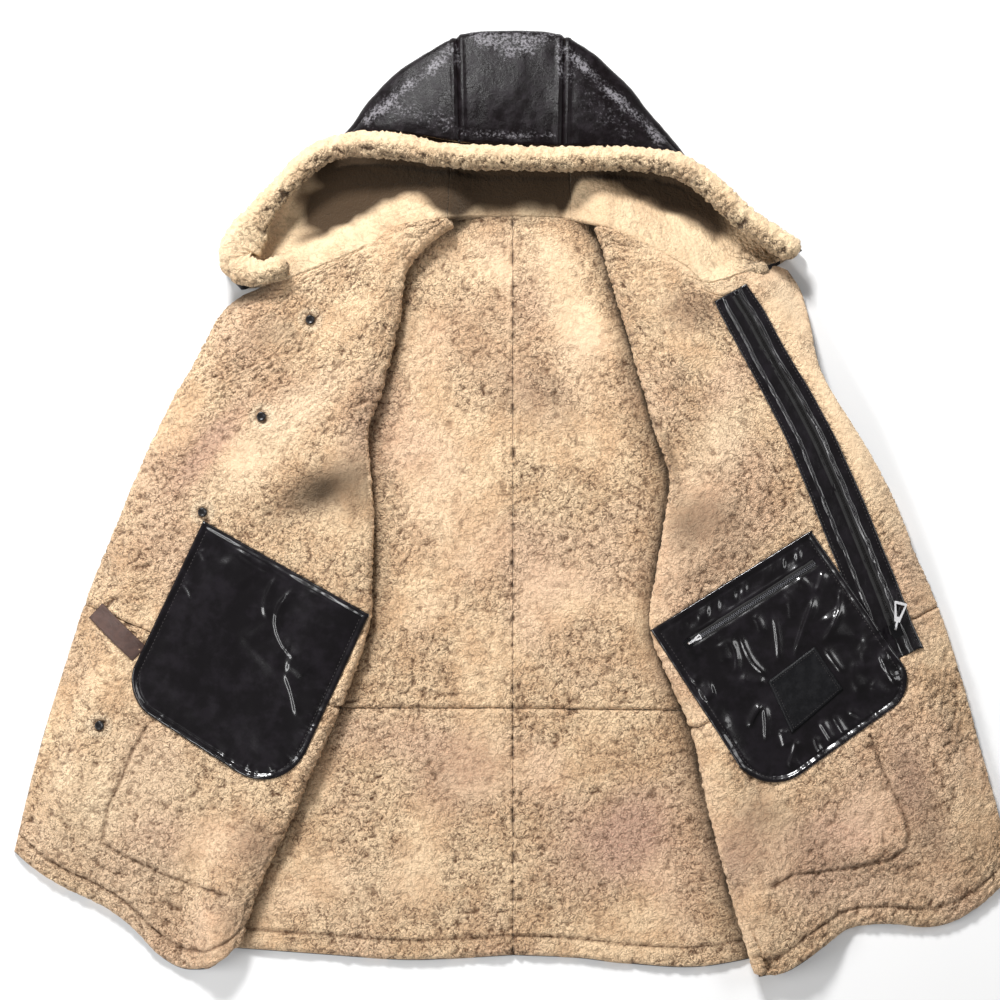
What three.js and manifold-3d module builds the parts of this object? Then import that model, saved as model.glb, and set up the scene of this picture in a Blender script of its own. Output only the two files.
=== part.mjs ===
// A hooded shearling coat laid open on its back, wool side up.
// Millimetres. X runs across the coat, Y from hem to hood, Z up from the surface that it lies on.
// The centre back seam lies on X = 0.
import * as THREE from "three";
import { mergeVertices } from "three/addons/utils/BufferGeometryUtils.js";
import Module from "manifold-3d";

const wasm = await Module();
wasm.setup();

// Driving dimensions
const shearling = 9; // skin and wool together
const half = shearling / 2;
const seam = 0.3; // space left between two pieces
const rollRadius = 6.4; // middle of the wall round a fold
const lowLevel = shearling + seam + half; // middle of a layer that lies on the back
const sleeveHeight = 19; // a sleeve pressed flat
const highLevel = sleeveHeight + 0.8 + half; // middle of a layer that lies on a sleeve
const dropLength = 38; // a front comes down to the surface over this length past the sleeve
const dropStart = 10; // and starts to come down this far past its edge
const cuffBridge = 60; // a front stays up this far past the cuff
const rollSwell = 4; // a front stands this much higher beside its roll
const swellUp = 14; // it swells over this length from the roll
const swellFrom = 30; // and sinks again from here
const swellDown = 60; // over this length
const climb = 60; // a front reaches the sleeve's level this far from its roll
const leather = 2;
const lift = 1.2; // a flat piece over a curved wall
const overStrip = 2.4; // the right pocket over the strip and the wall
const zipLift = 0.6; // a zip chain over leather
const patchThick = 1.2;
const patchLift = 0.4;
const strapLift = 1.8;
const buttonLift = 0.5;
const sliderLift = 0.4;
const waistRow = 11; // the row of the tables below where the waist seam runs
const waistY = -230; // the waist seam at the centre back
const cuffRow = 13; // the first row below the cuffs

// Each row crosses a front: the side or shoulder seam, the tip of the roll, the outer edge.
const leftRows = [
  { seamX: -89, seamY: 309, rollX: -62, rollY: 306, edgeX: -300, edgeY: 223 },
  { seamX: -151, seamY: 281, rollX: -91, rollY: 284, edgeX: -316, edgeY: 211 },
  { seamX: -227, seamY: 246, rollX: -117, rollY: 251, edgeX: -329, edgeY: 194 },
  { seamX: -235, seamY: 210, rollX: -124, rollY: 205, edgeX: -342, edgeY: 168 },
  { seamX: -239, seamY: 163, rollX: -134, rollY: 160, edgeX: -356, edgeY: 141 },
  { seamX: -243, seamY: 111, rollX: -146, rollY: 114, edgeX: -372, edgeY: 116 },
  { seamX: -247, seamY: 64, rollX: -160, rollY: 75, edgeX: -387, edgeY: 86 },
  { seamX: -251, seamY: 18, rollX: -156, rollY: 26, edgeX: -403, edgeY: 54 },
  { seamX: -254, seamY: -40, rollX: -153, rollY: -29, edgeX: -418, edgeY: 18 },
  { seamX: -259, seamY: -98, rollX: -155, rollY: -84, edgeX: -433, edgeY: -18 },
  { seamX: -263, seamY: -161, rollX: -157, rollY: -139, edgeX: -449, edgeY: -56 },
  { seamX: -263, seamY: -230, rollX: -188, rollY: -228, edgeX: -472, edgeY: -116 },
  { seamX: -274, seamY: -293, rollX: -215, rollY: -288, edgeX: -492, edgeY: -179 },
  { seamX: -287, seamY: -359, rollX: -243, rollY: -354, edgeX: -512, edgeY: -244 },
  { seamX: -302, seamY: -424, rollX: -276, rollY: -422, edgeX: -531, edgeY: -315 },
  { seamX: -319, seamY: -491, rollX: -298, rollY: -491, edgeX: -547, edgeY: -387 },
];
const rightRows = [
  { seamX: 104, seamY: 303, rollX: 88, rollY: 301, edgeX: 305, edgeY: 254 },
  { seamX: 151, seamY: 274, rollX: 96, rollY: 285, edgeX: 319, edgeY: 232 },
  { seamX: 215, seamY: 236, rollX: 103, rollY: 262, edgeX: 328, edgeY: 199 },
  { seamX: 235, seamY: 210, rollX: 113, rollY: 226, edgeX: 332, edgeY: 168 },
  { seamX: 239, seamY: 163, rollX: 127, rollY: 180, edgeX: 340, edgeY: 139 },
  { seamX: 243, seamY: 111, rollX: 141, rollY: 130, edgeX: 355, edgeY: 111 },
  { seamX: 247, seamY: 64, rollX: 155, rollY: 78, edgeX: 374, edgeY: 81 },
  { seamX: 251, seamY: 18, rollX: 172, rollY: 23, edgeX: 394, edgeY: 48 },
  { seamX: 254, seamY: -40, rollX: 166, rollY: -29, edgeX: 413, edgeY: 13 },
  { seamX: 259, seamY: -98, rollX: 157, rollY: -84, edgeX: 429, edgeY: -23 },
  { seamX: 263, seamY: -161, rollX: 152, rollY: -150, edgeX: 443, edgeY: -60 },
  { seamX: 263, seamY: -234, rollX: 193, rollY: -250, edgeX: 468, edgeY: -118 },
  { seamX: 274, seamY: -300, rollX: 208, rollY: -318, edgeX: 490, edgeY: -186 },
  { seamX: 287, seamY: -372, rollX: 224, rollY: -383, edgeX: 510, edgeY: -260 },
  { seamX: 302, seamY: -444, rollX: 242, rollY: -452, edgeX: 530, edgeY: -337 },
  { seamX: 319, seamY: -490, rollX: 263, rollY: -520, edgeX: 547, edgeY: -411 },
];
// Columns of a front's upper layer, as shares of the way from its roll to its outer edge.
const columns = [0, 0.07, 0.15, 0.24, 0.34, 0.44, 0.54, 0.64, 0.74, 0.84, 0.93, 1];
// The neck and hem edges of each front, in Y, one value for each of those columns.
const leftNeckY = [310, 308, 305, 299, 285, 274, 264, 255, 246, 238, 230, 223];
const rightNeckY = [302, 295, 287, 279, 269, 257, 240, 242, 248, 255, 259, 254];
const leftHemY = [-498, -509, -515, -513, -498, -473, -454, -441, -430, -417, -402, -387];
const rightHemY = [-521, -519, -506, -489, -472, -467, -467, -470, -466, -452, -432, -411];
const hemBow = 0.45; // the row above the hem takes this share of the hem's bow
const neckBow = [1, 0.8, 0.35]; // shares of the neck edge's bow that the first rows take

// Half of the back's neck and shoulder edge, and of its hem, from the centre seam outwards.
const shoulder = [
  { x: 0, y: 316 },
  { x: 50, y: 314 },
  { x: 89, y: 307 },
  { x: 151, y: 287 },
  { x: 229, y: 257 },
];
const leftHemDrop = [-500, -504, -505, -499, -491];
const rightHemDrop = [-500, -503, -509, -512, -490];

// A sleeve pressed flat: its outer and inner edge, from the armhole to the cuff.
const sleeveRows = [
  { outerX: 233, outerY: 249, innerX: 253, innerY: 16 },
  { outerX: 270, outerY: 214, innerX: 255, innerY: -2 },
  { outerX: 302, outerY: 166, innerX: 258, innerY: -24 },
  { outerX: 331, outerY: 114, innerX: 262, innerY: -51 },
  { outerX: 355, outerY: 64, innerX: 265, innerY: -84 },
  { outerX: 375, outerY: 9, innerX: 268, innerY: -123 },
  { outerX: 399, outerY: -57, innerX: 273, innerY: -167 },
  { outerX: 419, outerY: -123, innerX: 282, innerY: -211 },
  { outerX: 440, outerY: -200, innerX: 294, innerY: -255 },
  { outerX: 454, outerY: -255, innerX: 305, innerY: -293 },
  { outerX: 463, outerY: -293, innerX: 317, innerY: -326 },
];

// Each row crosses the hood: its neck edge, the fold at the crown or the flap's edge, and where the
// upper layer ends at the rolled edge. A neck level of 0 stands for the back's own level.
const hoodRows = [
  { neckX: -264, neckY: 238, neckZ: 1, foldX: -302, foldY: 234, endX: -296, endY: 235, endZ: 0 },
  { neckX: -241, neckY: 246, neckZ: 1, foldX: -322, foldY: 262, endX: -315, endY: 261, endZ: 0 },
  { neckX: -218, neckY: 255, neckZ: 1, foldX: -308, foldY: 294, endX: -302, endY: 291, endZ: 0 },
  { neckX: -196, neckY: 264, neckZ: 1, foldX: -281, foldY: 322, endX: -276, endY: 318, endZ: 0 },
  { neckX: -173, neckY: 274, neckZ: 1, foldX: -252, foldY: 352, endX: -247, endY: 347, endZ: 0 },
  { neckX: -150, neckY: 285, neckZ: 1, foldX: -222, foldY: 383, endX: -218, endY: 377, endZ: 0 },
  { neckX: -127, neckY: 299, neckZ: 1, foldX: -187, foldY: 407, endX: -184, endY: 400, endZ: 0.1 },
  { neckX: -107, neckY: 305, neckZ: 1, foldX: -156, foldY: 446, endX: -143, endY: 404, endZ: 0.7 },
  { neckX: -89, neckY: 308, neckZ: 1, foldX: -118, foldY: 482, endX: -104, endY: 399, endZ: 0.9 },
  { neckX: -73, neckY: 310, neckZ: 1, foldX: -61, foldY: 515, endX: -59, endY: 391, endZ: 1 },
  { neckX: -35, neckY: 315.6, neckZ: 0, foldX: -20, foldY: 521, endX: -20, endY: 388, endZ: 1 },
  { neckX: 20, neckY: 315.6, neckZ: 0, foldX: 20, foldY: 521, endX: 18, endY: 387, endZ: 1 },
  { neckX: 66, neckY: 312, neckZ: 0, foldX: 56, foldY: 515, endX: 54, endY: 386, endZ: 1 },
  { neckX: 99, neckY: 302, neckZ: 1, foldX: 85, foldY: 497, endX: 82, endY: 386, endZ: 1 },
  { neckX: 113, neckY: 295, neckZ: 1, foldX: 120, foldY: 465, endX: 118, endY: 387, endZ: 0.9 },
  { neckX: 130, neckY: 287, neckZ: 1, foldX: 156, foldY: 424, endX: 153, endY: 385, endZ: 0.6 },
  { neckX: 148, neckY: 279, neckZ: 1, foldX: 190, foldY: 381, endX: 186, endY: 375, endZ: 0.1 },
  { neckX: 169, neckY: 269, neckZ: 1, foldX: 215, foldY: 359, endX: 211, endY: 353, endZ: 0 },
  { neckX: 190, neckY: 257, neckZ: 1, foldX: 239, foldY: 337, endX: 235, endY: 332, endZ: 0 },
  { neckX: 210, neckY: 240, neckZ: 1, foldX: 263, foldY: 315, endX: 259, endY: 310, endZ: 0 },
  { neckX: 231, neckY: 242, neckZ: 1, foldX: 286, foldY: 300, endX: 281, endY: 295, endZ: 0 },
  { neckX: 251, neckY: 248.4, neckZ: 1, foldX: 308, foldY: 286, endX: 303, endY: 282, endZ: 0 },
  { neckX: 272, neckY: 255.4, neckZ: 1, foldX: 322, foldY: 274, endX: 316, endY: 272, endZ: 0 },
];
const hoodSeams = [9, 12]; // rows of that table where the centre strip starts and ends
const hoodRollRadius = 5.5;
const neckFall = 0.62; // the hood comes down to the surface over this share of its lower layer
const foreheadRise = 22; // the upper layer climbs this much from the crown to the rolled edge

// The rolled wool edge of the hood: its middle line, from the left flap round to the right one.
const rollWide = 26;
const rollHigh = 24;
const rollRows = [
  { x: -246, y: 257, z: 42.9 },
  { x: -271, y: 247, z: 39.9 },
  { x: -294, y: 246, z: 35.9 },
  { x: -309, y: 259, z: 32.9 },
  { x: -309, y: 277, z: 32.4 },
  { x: -295, y: 297, z: 32.4 },
  { x: -275, y: 318, z: 32.4 },
  { x: -252, y: 343, z: 32.4 },
  { x: -230, y: 366, z: 32.9 },
  { x: -208, y: 381, z: 34.9 },
  { x: -180, y: 388, z: 37.4 },
  { x: -148, y: 388, z: 39.4 },
  { x: -115, y: 384, z: 40.9 },
  { x: -87, y: 378, z: 41.9 },
  { x: -45, y: 374, z: 42.4 },
  { x: 0, y: 373, z: 42.9 },
  { x: 45, y: 372, z: 42.9 },
  { x: 88, y: 372, z: 42.4 },
  { x: 124, y: 372, z: 41.4 },
  { x: 158, y: 370, z: 38.9 },
  { x: 184, y: 364, z: 35.9 },
  { x: 208, y: 350, z: 33.4 },
  { x: 234, y: 327, z: 32.4 },
  { x: 257, y: 306, z: 32.4 },
  { x: 280, y: 290, z: 32.4 },
  { x: 300, y: 277, z: 32.9 },
  { x: 312, y: 266, z: 32.9 },
];

// Pockets: corners in order round each pouch, the first two on its straight top edge.
const leftPocket = [
  { x: -339, y: -25 },
  { x: -157, y: -128 },
  { x: -250, y: -332 },
  { x: -429, y: -217 },
];
const leftRounds = [38, 60]; // radii of its lower corners: on its first side, on its second
const rightPocket = [
  { x: 150, y: -145 },
  { x: 326, y: -36 },
  { x: 444, y: -209 },
  { x: 271, y: -332 },
];
const rightRounds = [52, 36];
const patchCorners = [
  { x: 278, y: -201 },
  { x: 329, y: -163 },
  { x: 360, y: -210 },
  { x: 304, y: -258 },
];
// The zip of the right pocket runs across it at this share of its depth, between these shares of its width.
const pocketZip = { depth: 0.157, from: 0.15, to: 0.92, wide: 9, high: 2.4 };

// The leather strip that carries the front zip, from the neck down: its middle line and width.
const stripRows = [
  { x: 239, y: 226, wide: 40 },
  { x: 248, y: 210, wide: 43 },
  { x: 257, y: 195, wide: 45 },
  { x: 274, y: 163, wide: 45 },
  { x: 291, y: 132, wide: 46 },
  { x: 304, y: 109, wide: 48 },
  { x: 318, y: 82, wide: 49 },
  { x: 330, y: 57, wide: 51 },
  { x: 341, y: 31, wide: 52 },
  { x: 350, y: 10, wide: 53 },
  { x: 359, y: -12, wide: 54 },
  { x: 370, y: -40, wide: 54 },
  { x: 381, y: -68, wide: 54 },
  { x: 391, y: -93, wide: 55 },
  { x: 401, y: -119, wide: 55 },
  { x: 409, y: -143, wide: 56 },
  { x: 416, y: -161, wide: 57 },
  { x: 422, y: -175, wide: 58 },
];
const chain = { across: 0.62, wide: 7, high: 2.6 };
// A slider's lugs and pull turn away from its body by the skew.
const frontSlider = { long: 15, wide: 11, high: 5, x: 416, y: -143, turn: -0.25, skew: 0.59 };
const pocketSlider = { long: 10, wide: 9, high: 4, x: 192, y: -159, turn: -1.016, skew: 0 };
const frontPull = { long: 29, wide: 14, foot: 6, thick: 1.8, slot: 9.6 };
const pocketPull = { long: 13, wide: 6, foot: 3.6, thick: 1.6, slot: 2 };
// Between the two lugs of a slider: the pin, and the room that the pull's eye has round and beside it.
const pin = {
  radius: 1,
  clearance: 0.45,
  beside: 0.35,
  lug: 1.6,
  lugLong: 4.4,
  gap: 3,
  rise: 3.2,
  forward: 0.2,
};
const pullForm = {
  eyeWall: 0.9,
  stem: 7,
  corner: 1.5,
  slotFrom: 0.26,
  slotTo: 0.87,
  slotNarrow: 0.15,
  mostLean: 0.3,
};

const strap = { fromX: -456, fromY: -126, toX: -414, toY: -165, wide: 22, thick: 2 };
const buttons = [
  { x: -223, y: 196 },
  { x: -276, y: 89 },
  { x: -340, y: -16 },
  { x: -451, y: -249 },
];
const button = { radius: 5.5, high: 4 };

// Looks
const wool = new THREE.MeshStandardMaterial({ color: 0xd9b68a, roughness: 1, metalness: 0 });
const skin = new THREE.MeshStandardMaterial({ color: 0x2a2428, roughness: 0.42, metalness: 0 });
const pouch = new THREE.MeshStandardMaterial({ color: 0x161416, roughness: 0.3, metalness: 0 });
const patch = new THREE.MeshStandardMaterial({ color: 0x1d1b1e, roughness: 0.5, metalness: 0 });
const brown = new THREE.MeshStandardMaterial({ color: 0x5f463f, roughness: 0.6, metalness: 0 });
const black = new THREE.MeshStandardMaterial({ color: 0x151313, roughness: 0.35, metalness: 0 });
const steel = new THREE.MeshStandardMaterial({ color: 0xb9bcc2, roughness: 0.25, metalness: 1 });

const coat = new THREE.Group();

function add(name, geometry, material) {
  const mesh = new THREE.Mesh(geometry, material);
  mesh.name = name;
  coat.add(mesh);
  return mesh;
}

const mix = (a, b, share) => a + (b - a) * share;
const smooth = (value) => {
  const t = Math.min(Math.max(value, 0), 1);
  return t * t * (3 - 2 * t);
};

// Signed volume of a mesh, to turn its faces outwards.
function volume(points, faces) {
  const cross = new THREE.Vector3();
  return faces.reduce((sum, [a, b, c]) => {
    cross.crossVectors(points[b], points[c]);
    return sum + points[a].dot(cross);
  }, 0);
}

function meshFrom(points, faces) {
  const turned = volume(points, faces) < 0 ? faces.map(([a, b, c]) => [a, c, b]) : faces;
  const geometry = new THREE.BufferGeometry().setFromPoints(points);
  geometry.setIndex(turned.flat());
  geometry.computeVertexNormals();
  return geometry;
}

// The two skins of a wall: a grid of middle points moved out and in by half of its thickness.
// Rows at the ends lean only along themselves, and an upright column stands straight.
function skins(grid, thickness, { uprightStart = false } = {}) {
  const rows = grid.length;
  const width = grid[0].length;
  const outer = grid.map((row) => row.map((point) => point.clone()));
  const inner = grid.map((row) => row.map((point) => point.clone()));
  const along = new THREE.Vector3();
  const across = new THREE.Vector3();
  for (let i = 0; i < rows; i++) {
    for (let j = 0; j < width; j++) {
      along.subVectors(grid[Math.min(i + 1, rows - 1)][j], grid[Math.max(i - 1, 0)][j]);
      across.subVectors(grid[i][Math.min(j + 1, width - 1)], grid[i][Math.max(j - 1, 0)]);
      const normal = new THREE.Vector3().crossVectors(along, across).normalize();
      if (i === 0 || i === rows - 1) {
        normal.y = 0;
        if (Math.abs(normal.z) > 0.6) normal.x = 0;
      }
      if (uprightStart && j === 0) {
        normal.x = 0;
        normal.y = 0;
      }
      normal.normalize().multiplyScalar(thickness / 2);
      outer[i][j].add(normal);
      inner[i][j].sub(normal);
    }
  }
  return { outer, inner };
}

// A closed wall from rows of those skins.
function wall({ outer, inner }) {
  const rows = outer.length;
  const width = outer[0].length;
  const points = [...outer.flat(), ...inner.flat()];
  const at = (layer, i, j) => (layer * rows + i) * width + j;
  const faces = [];
  const quad = (a, b, c, d) => faces.push([a, b, c], [a, c, d]);
  for (let i = 0; i + 1 < rows; i++) {
    for (let j = 0; j + 1 < width; j++) {
      quad(at(0, i, j), at(0, i, j + 1), at(0, i + 1, j + 1), at(0, i + 1, j));
      quad(at(1, i, j), at(1, i + 1, j), at(1, i + 1, j + 1), at(1, i, j + 1));
    }
    quad(at(0, i, 0), at(0, i + 1, 0), at(1, i + 1, 0), at(1, i, 0));
    quad(at(0, i, width - 1), at(1, i, width - 1), at(1, i + 1, width - 1), at(0, i + 1, width - 1));
  }
  for (let j = 0; j + 1 < width; j++) {
    quad(at(0, 0, j), at(1, 0, j), at(1, 0, j + 1), at(0, 0, j + 1));
    quad(at(0, rows - 1, j), at(0, rows - 1, j + 1), at(1, rows - 1, j + 1), at(1, rows - 1, j));
  }
  return meshFrom(points, faces);
}

// Rows first to last of a pair of skins, drawn back by half of a seam where another piece goes on.
function stretch(pair, first, last, gap = seam) {
  const drawBack = (skin) => {
    const part = skin.slice(first, last + 1).map((row) => row.map((point) => point.clone()));
    const shift = (end, next) =>
      end.forEach((point, j) => {
        const way = next[j].clone().sub(point);
        point.addScaledVector(way.normalize(), gap);
      });
    if (first > 0) shift(part[0], part[1]);
    if (last < skin.length - 1) shift(part[part.length - 1], part[part.length - 2]);
    return part;
  };
  return { outer: drawBack(pair.outer), inner: drawBack(pair.inner) };
}

// The outline, on one side, of all that lies under a front: shoulder, sleeve, side seam and hem.
function stackOutline(side, rows) {
  const outline = shoulder.map(({ x, y }) => new THREE.Vector2(side * x, y));
  sleeveRows.forEach((row) => outline.push(new THREE.Vector2(side * row.outerX, row.outerY)));
  const [before, cuff] = sleeveRows.slice(-2);
  const way = new THREE.Vector2(cuff.innerX - before.innerX, cuff.innerY - before.innerY);
  way.setLength(cuffBridge);
  [["outerX", "outerY"], ["innerX", "innerY"]].forEach(([x, y]) => {
    outline.push(new THREE.Vector2(side * (cuff[x] + way.x), cuff[y] + way.y));
  });
  rows.slice(cuffRow).forEach((row) => outline.push(new THREE.Vector2(row.seamX, row.seamY)));
  outline.push(new THREE.Vector2(0, leftHemDrop[0]));
  return outline;
}

// How far a place lies outside an outline; 0 inside it.
function outside(outline, x, y) {
  let inside = false;
  let nearest = Infinity;
  outline.forEach((a, i) => {
    const b = outline[(i + 1) % outline.length];
    if (a.y > y !== b.y > y && x < mix(a.x, b.x, (y - a.y) / (b.y - a.y))) inside = !inside;
    const wayX = b.x - a.x;
    const wayY = b.y - a.y;
    const share = ((x - a.x) * wayX + (y - a.y) * wayY) / (wayX * wayX + wayY * wayY);
    const t = Math.min(Math.max(share, 0), 1);
    nearest = Math.min(nearest, Math.hypot(x - a.x - wayX * t, y - a.y - wayY * t));
  });
  return inside ? 0 : nearest;
}

// Half a turn round a fold whose outermost place is given, from one level up to the next.
function foldTurn(tipX, tipY, outX, outY, level, radius, thickness) {
  const steps = [0.12, 0.3, 0.5, 0.7, 0.88];
  const centreX = tipX - outX * (radius + thickness / 2);
  const centreY = tipY - outY * (radius + thickness / 2);
  const turn = steps.map((step) => {
    const angle = Math.PI * step;
    const reach = radius * Math.sin(angle);
    const rise = radius * (1 - Math.cos(angle));
    return new THREE.Vector3(centreX + outX * reach, centreY + outY * reach, level + rise);
  });
  return { centreX, centreY, turn };
}

// The middle points of a front: out along the back, round the roll, and back over it to the edge.
function frontGrid(side, rows, neckY, hemY) {
  const outline = stackOutline(side, rows);
  const lowShares = [0, 0.35, 0.7, 1];
  return rows.map((row, i) => {
    const outX = -side;
    const rollSize = [outX, 0, lowLevel, rollRadius, shearling];
    const { centreX, centreY, turn } = foldTurn(row.rollX, row.rollY, ...rollSize);
    const lower = lowShares.map(
      (t) => new THREE.Vector3(mix(row.seamX, centreX, t), mix(row.seamY, centreY, t), lowLevel),
    );
    const upper = columns.map((t, j) => {
      const x = mix(centreX, row.edgeX, t);
      let y = mix(centreY, row.edgeY, t);
      const last = rows[rows.length - 1];
      const bow = hemY[j] - mix(last.rollY, last.edgeY, t);
      if (i < neckBow.length) y += (neckY[j] - mix(rows[0].rollY, rows[0].edgeY, t)) * neckBow[i];
      if (i === rows.length - 1) y += bow;
      if (i === rows.length - 2) y += bow * hemBow;
      const fall = 1 - smooth((outside(outline, x, y) - dropStart) / dropLength);
      const length = Math.abs(x - centreX);
      const swell = rollSwell * smooth(length / swellUp) * (1 - smooth((length - swellFrom) / swellDown));
      const start = lowLevel + 2 * rollRadius;
      const level = mix(start, highLevel, smooth(length / climb)) + swell;
      return new THREE.Vector3(x, y, half + (level - half) * fall);
    });
    return [...lower, ...turn, ...upper];
  });
}

const leftGrid = frontGrid(-1, leftRows, leftNeckY, leftHemY);
const rightGrid = frontGrid(1, rightRows, rightNeckY, rightHemY);
const frontSkins = { left: skins(leftGrid, shearling), right: skins(rightGrid, shearling) };
const fronts = [];
Object.entries(frontSkins).forEach(([side, pair]) => {
  const lastRow = leftRows.length - 1;
  fronts.push(add("front_upper_" + side, wall(stretch(pair, 0, waistRow)), wool));
  fronts.push(add("front_lower_" + side, wall(stretch(pair, waistRow, lastRow)), wool));
});

// Half of the back: rows from the centre seam to the side seam.
function backGrid(side, rows, hemDrop) {
  const reach = shoulder[shoulder.length - 1].x;
  const shares = shoulder.map(({ x }) => x / reach);
  const level = (x, y) => new THREE.Vector3(side * Math.max(Math.abs(x), seam / 2), y, half);
  const top = shoulder.map(({ x, y }) => level(x, y - 2 * seam));
  const body = rows.slice(3, -1).map((row) => {
    const centreY = row === rows[waistRow] ? waistY : row.seamY;
    return shares.map((t) => level(mix(0, row.seamX, t), mix(centreY, row.seamY, t)));
  });
  const last = rows[rows.length - 1];
  const hem = shares.map((t, j) => level(mix(0, last.seamX, t), hemDrop[j]));
  return [top, ...body, hem];
}

[
  ["left", -1, leftRows, leftHemDrop],
  ["right", 1, rightRows, rightHemDrop],
].forEach(([name, side, rows, hemDrop]) => {
  const grid = backGrid(side, rows, hemDrop);
  const pair = skins(grid, shearling);
  const waist = waistRow - 2;
  add("back_upper_" + name, wall(stretch(pair, 0, waist)), wool);
  add("back_lower_" + name, wall(stretch(pair, waist, grid.length - 1)), wool);
});

// A sleeve pressed flat: rings from the armhole to the cuff, each two layers with a round at each edge.
function sleeve(side) {
  const flats = [0, 0.33, 0.67, 1];
  const turns = [0.18, 0.39, 0.61, 0.82];
  const ring = (row, inset) => {
    const start = new THREE.Vector2(side * row.outerX, row.outerY);
    const end = new THREE.Vector2(side * row.innerX, row.innerY);
    const way = end.clone().sub(start);
    const length = way.length();
    way.normalize();
    const radius = sleeveHeight / 2;
    const round = radius - inset;
    const place = (reach, z) => new THREE.Vector3(start.x + way.x * reach, start.y + way.y * reach, z);
    const from = radius;
    const to = length - radius;
    const points = [];
    flats.forEach((t) => points.push(place(mix(from, to, t), radius + round)));
    turns.forEach((t) => {
      const angle = Math.PI * t;
      points.push(place(to + round * Math.sin(angle), radius + round * Math.cos(angle)));
    });
    flats.forEach((t) => points.push(place(mix(to, from, t), radius - round)));
    turns.forEach((t) => {
      const angle = Math.PI * t;
      points.push(place(from - round * Math.sin(angle), radius - round * Math.cos(angle)));
    });
    return points;
  };
  const outer = sleeveRows.map((row) => ring(row, 0));
  const inner = sleeveRows.map((row) => ring(row, shearling));
  return tube(outer, inner);
}

// A tube with a wall, from rings of outer and inner points.
function tube(outer, inner) {
  const rings = outer.length;
  const count = outer[0].length;
  const points = [...outer.flat(), ...inner.flat()];
  const at = (layer, i, j) => (layer * rings + i) * count + (j % count);
  const faces = [];
  const quad = (a, b, c, d) => faces.push([a, b, c], [a, c, d]);
  for (let j = 0; j < count; j++) {
    for (let i = 0; i + 1 < rings; i++) {
      quad(at(0, i, j), at(0, i, j + 1), at(0, i + 1, j + 1), at(0, i + 1, j));
      quad(at(1, i, j), at(1, i + 1, j), at(1, i + 1, j + 1), at(1, i, j + 1));
    }
    quad(at(0, 0, j), at(1, 0, j), at(1, 0, j + 1), at(0, 0, j + 1));
    quad(at(0, rings - 1, j), at(0, rings - 1, j + 1), at(1, rings - 1, j + 1), at(1, rings - 1, j));
  }
  return meshFrom(points, faces);
}

add("sleeve_left", sleeve(-1), skin);
add("sleeve_right", sleeve(1), skin);

// The hood: out over the surface from the neck, round the crown, and back over itself to the rolled edge.
const turnEnd = 9; // places of a front's row before its upper layer
const neckEdge = [...leftGrid[0].slice(turnEnd), ...rightGrid[0].slice(turnEnd)];
const distanceTo = (x) => (a, b) => Math.abs(a.x - x) - Math.abs(b.x - x);
const neckLevel = (x) => [...neckEdge].sort(distanceTo(x))[0].z;
const lowerShares = [0, 0.18, 0.4, 0.7, 1];
const upperShares = [0.1, 0.3, 0.55, 0.8, 1];
const hoodGrid = hoodRows.map((row) => {
  const wayX = row.foldX - row.neckX;
  const wayY = row.foldY - row.neckY;
  const length = Math.hypot(wayX, wayY);
  const turnSize = [wayX / length, wayY / length, half, hoodRollRadius, shearling];
  const { centreX, centreY, turn } = foldTurn(row.foldX, row.foldY, ...turnSize);
  const neckZ = mix(half, neckLevel(row.neckX), row.neckZ);
  const lower = lowerShares.map((t) => {
    const z = mix(neckZ, half, smooth(t / neckFall));
    return new THREE.Vector3(mix(row.neckX, centreX, t), mix(row.neckY + 2 * seam, centreY, t), z);
  });
  const topLevel = half + 2 * hoodRollRadius;
  const upper = upperShares.map((t) => {
    const z = topLevel + foreheadRise * row.endZ * Math.sin((t * Math.PI) / 2);
    return new THREE.Vector3(mix(centreX, row.endX, t), mix(centreY, row.endY, t), z);
  });
  return [...lower, ...turn, ...upper];
});
const hoodPair = skins(hoodGrid, shearling, { uprightStart: true });
const hoodParts = [
  ["hood_left", 0, hoodSeams[0]],
  ["hood_centre", hoodSeams[0], hoodSeams[1]],
  ["hood_right", hoodSeams[1], hoodRows.length - 1],
].map(([name, first, last]) => add(name, wall(stretch(hoodPair, first, last, 2.5 * seam)), skin));

// The rolled edge: an oval section along its middle line, with a blunt end at each flap.
function rolledEdge() {
  const sides = 12;
  const endShare = 1 / 30; // it narrows over this share of its length
  const endNarrow = 0.75;
  const line = rollRows.map(({ x, y, z }) => new THREE.Vector3(x, y, z));
  const curve = new THREE.CatmullRomCurve3(line, false, "centripetal");
  const steps = 44;
  const rings = [];
  for (let i = 0; i <= steps; i++) {
    const t = i / steps;
    const centre = curve.getPointAt(t);
    const way = curve.getTangentAt(t);
    const sideways = new THREE.Vector3(-way.y, way.x, 0).normalize();
    const nearEnd = Math.max(0, 1 - Math.min(t, 1 - t) / endShare);
    const taper = Math.sqrt(1 - nearEnd * nearEnd * endNarrow);
    const ring = [];
    for (let k = 0; k < sides; k++) {
      const angle = (2 * Math.PI * k) / sides;
      const point = centre.clone().addScaledVector(sideways, (Math.cos(angle) * rollWide * taper) / 2);
      point.z += (Math.sin(angle) * rollHigh * taper) / 2;
      ring.push(point);
    }
    rings.push(ring);
  }
  return solidFromRings(rings);
}

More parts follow.
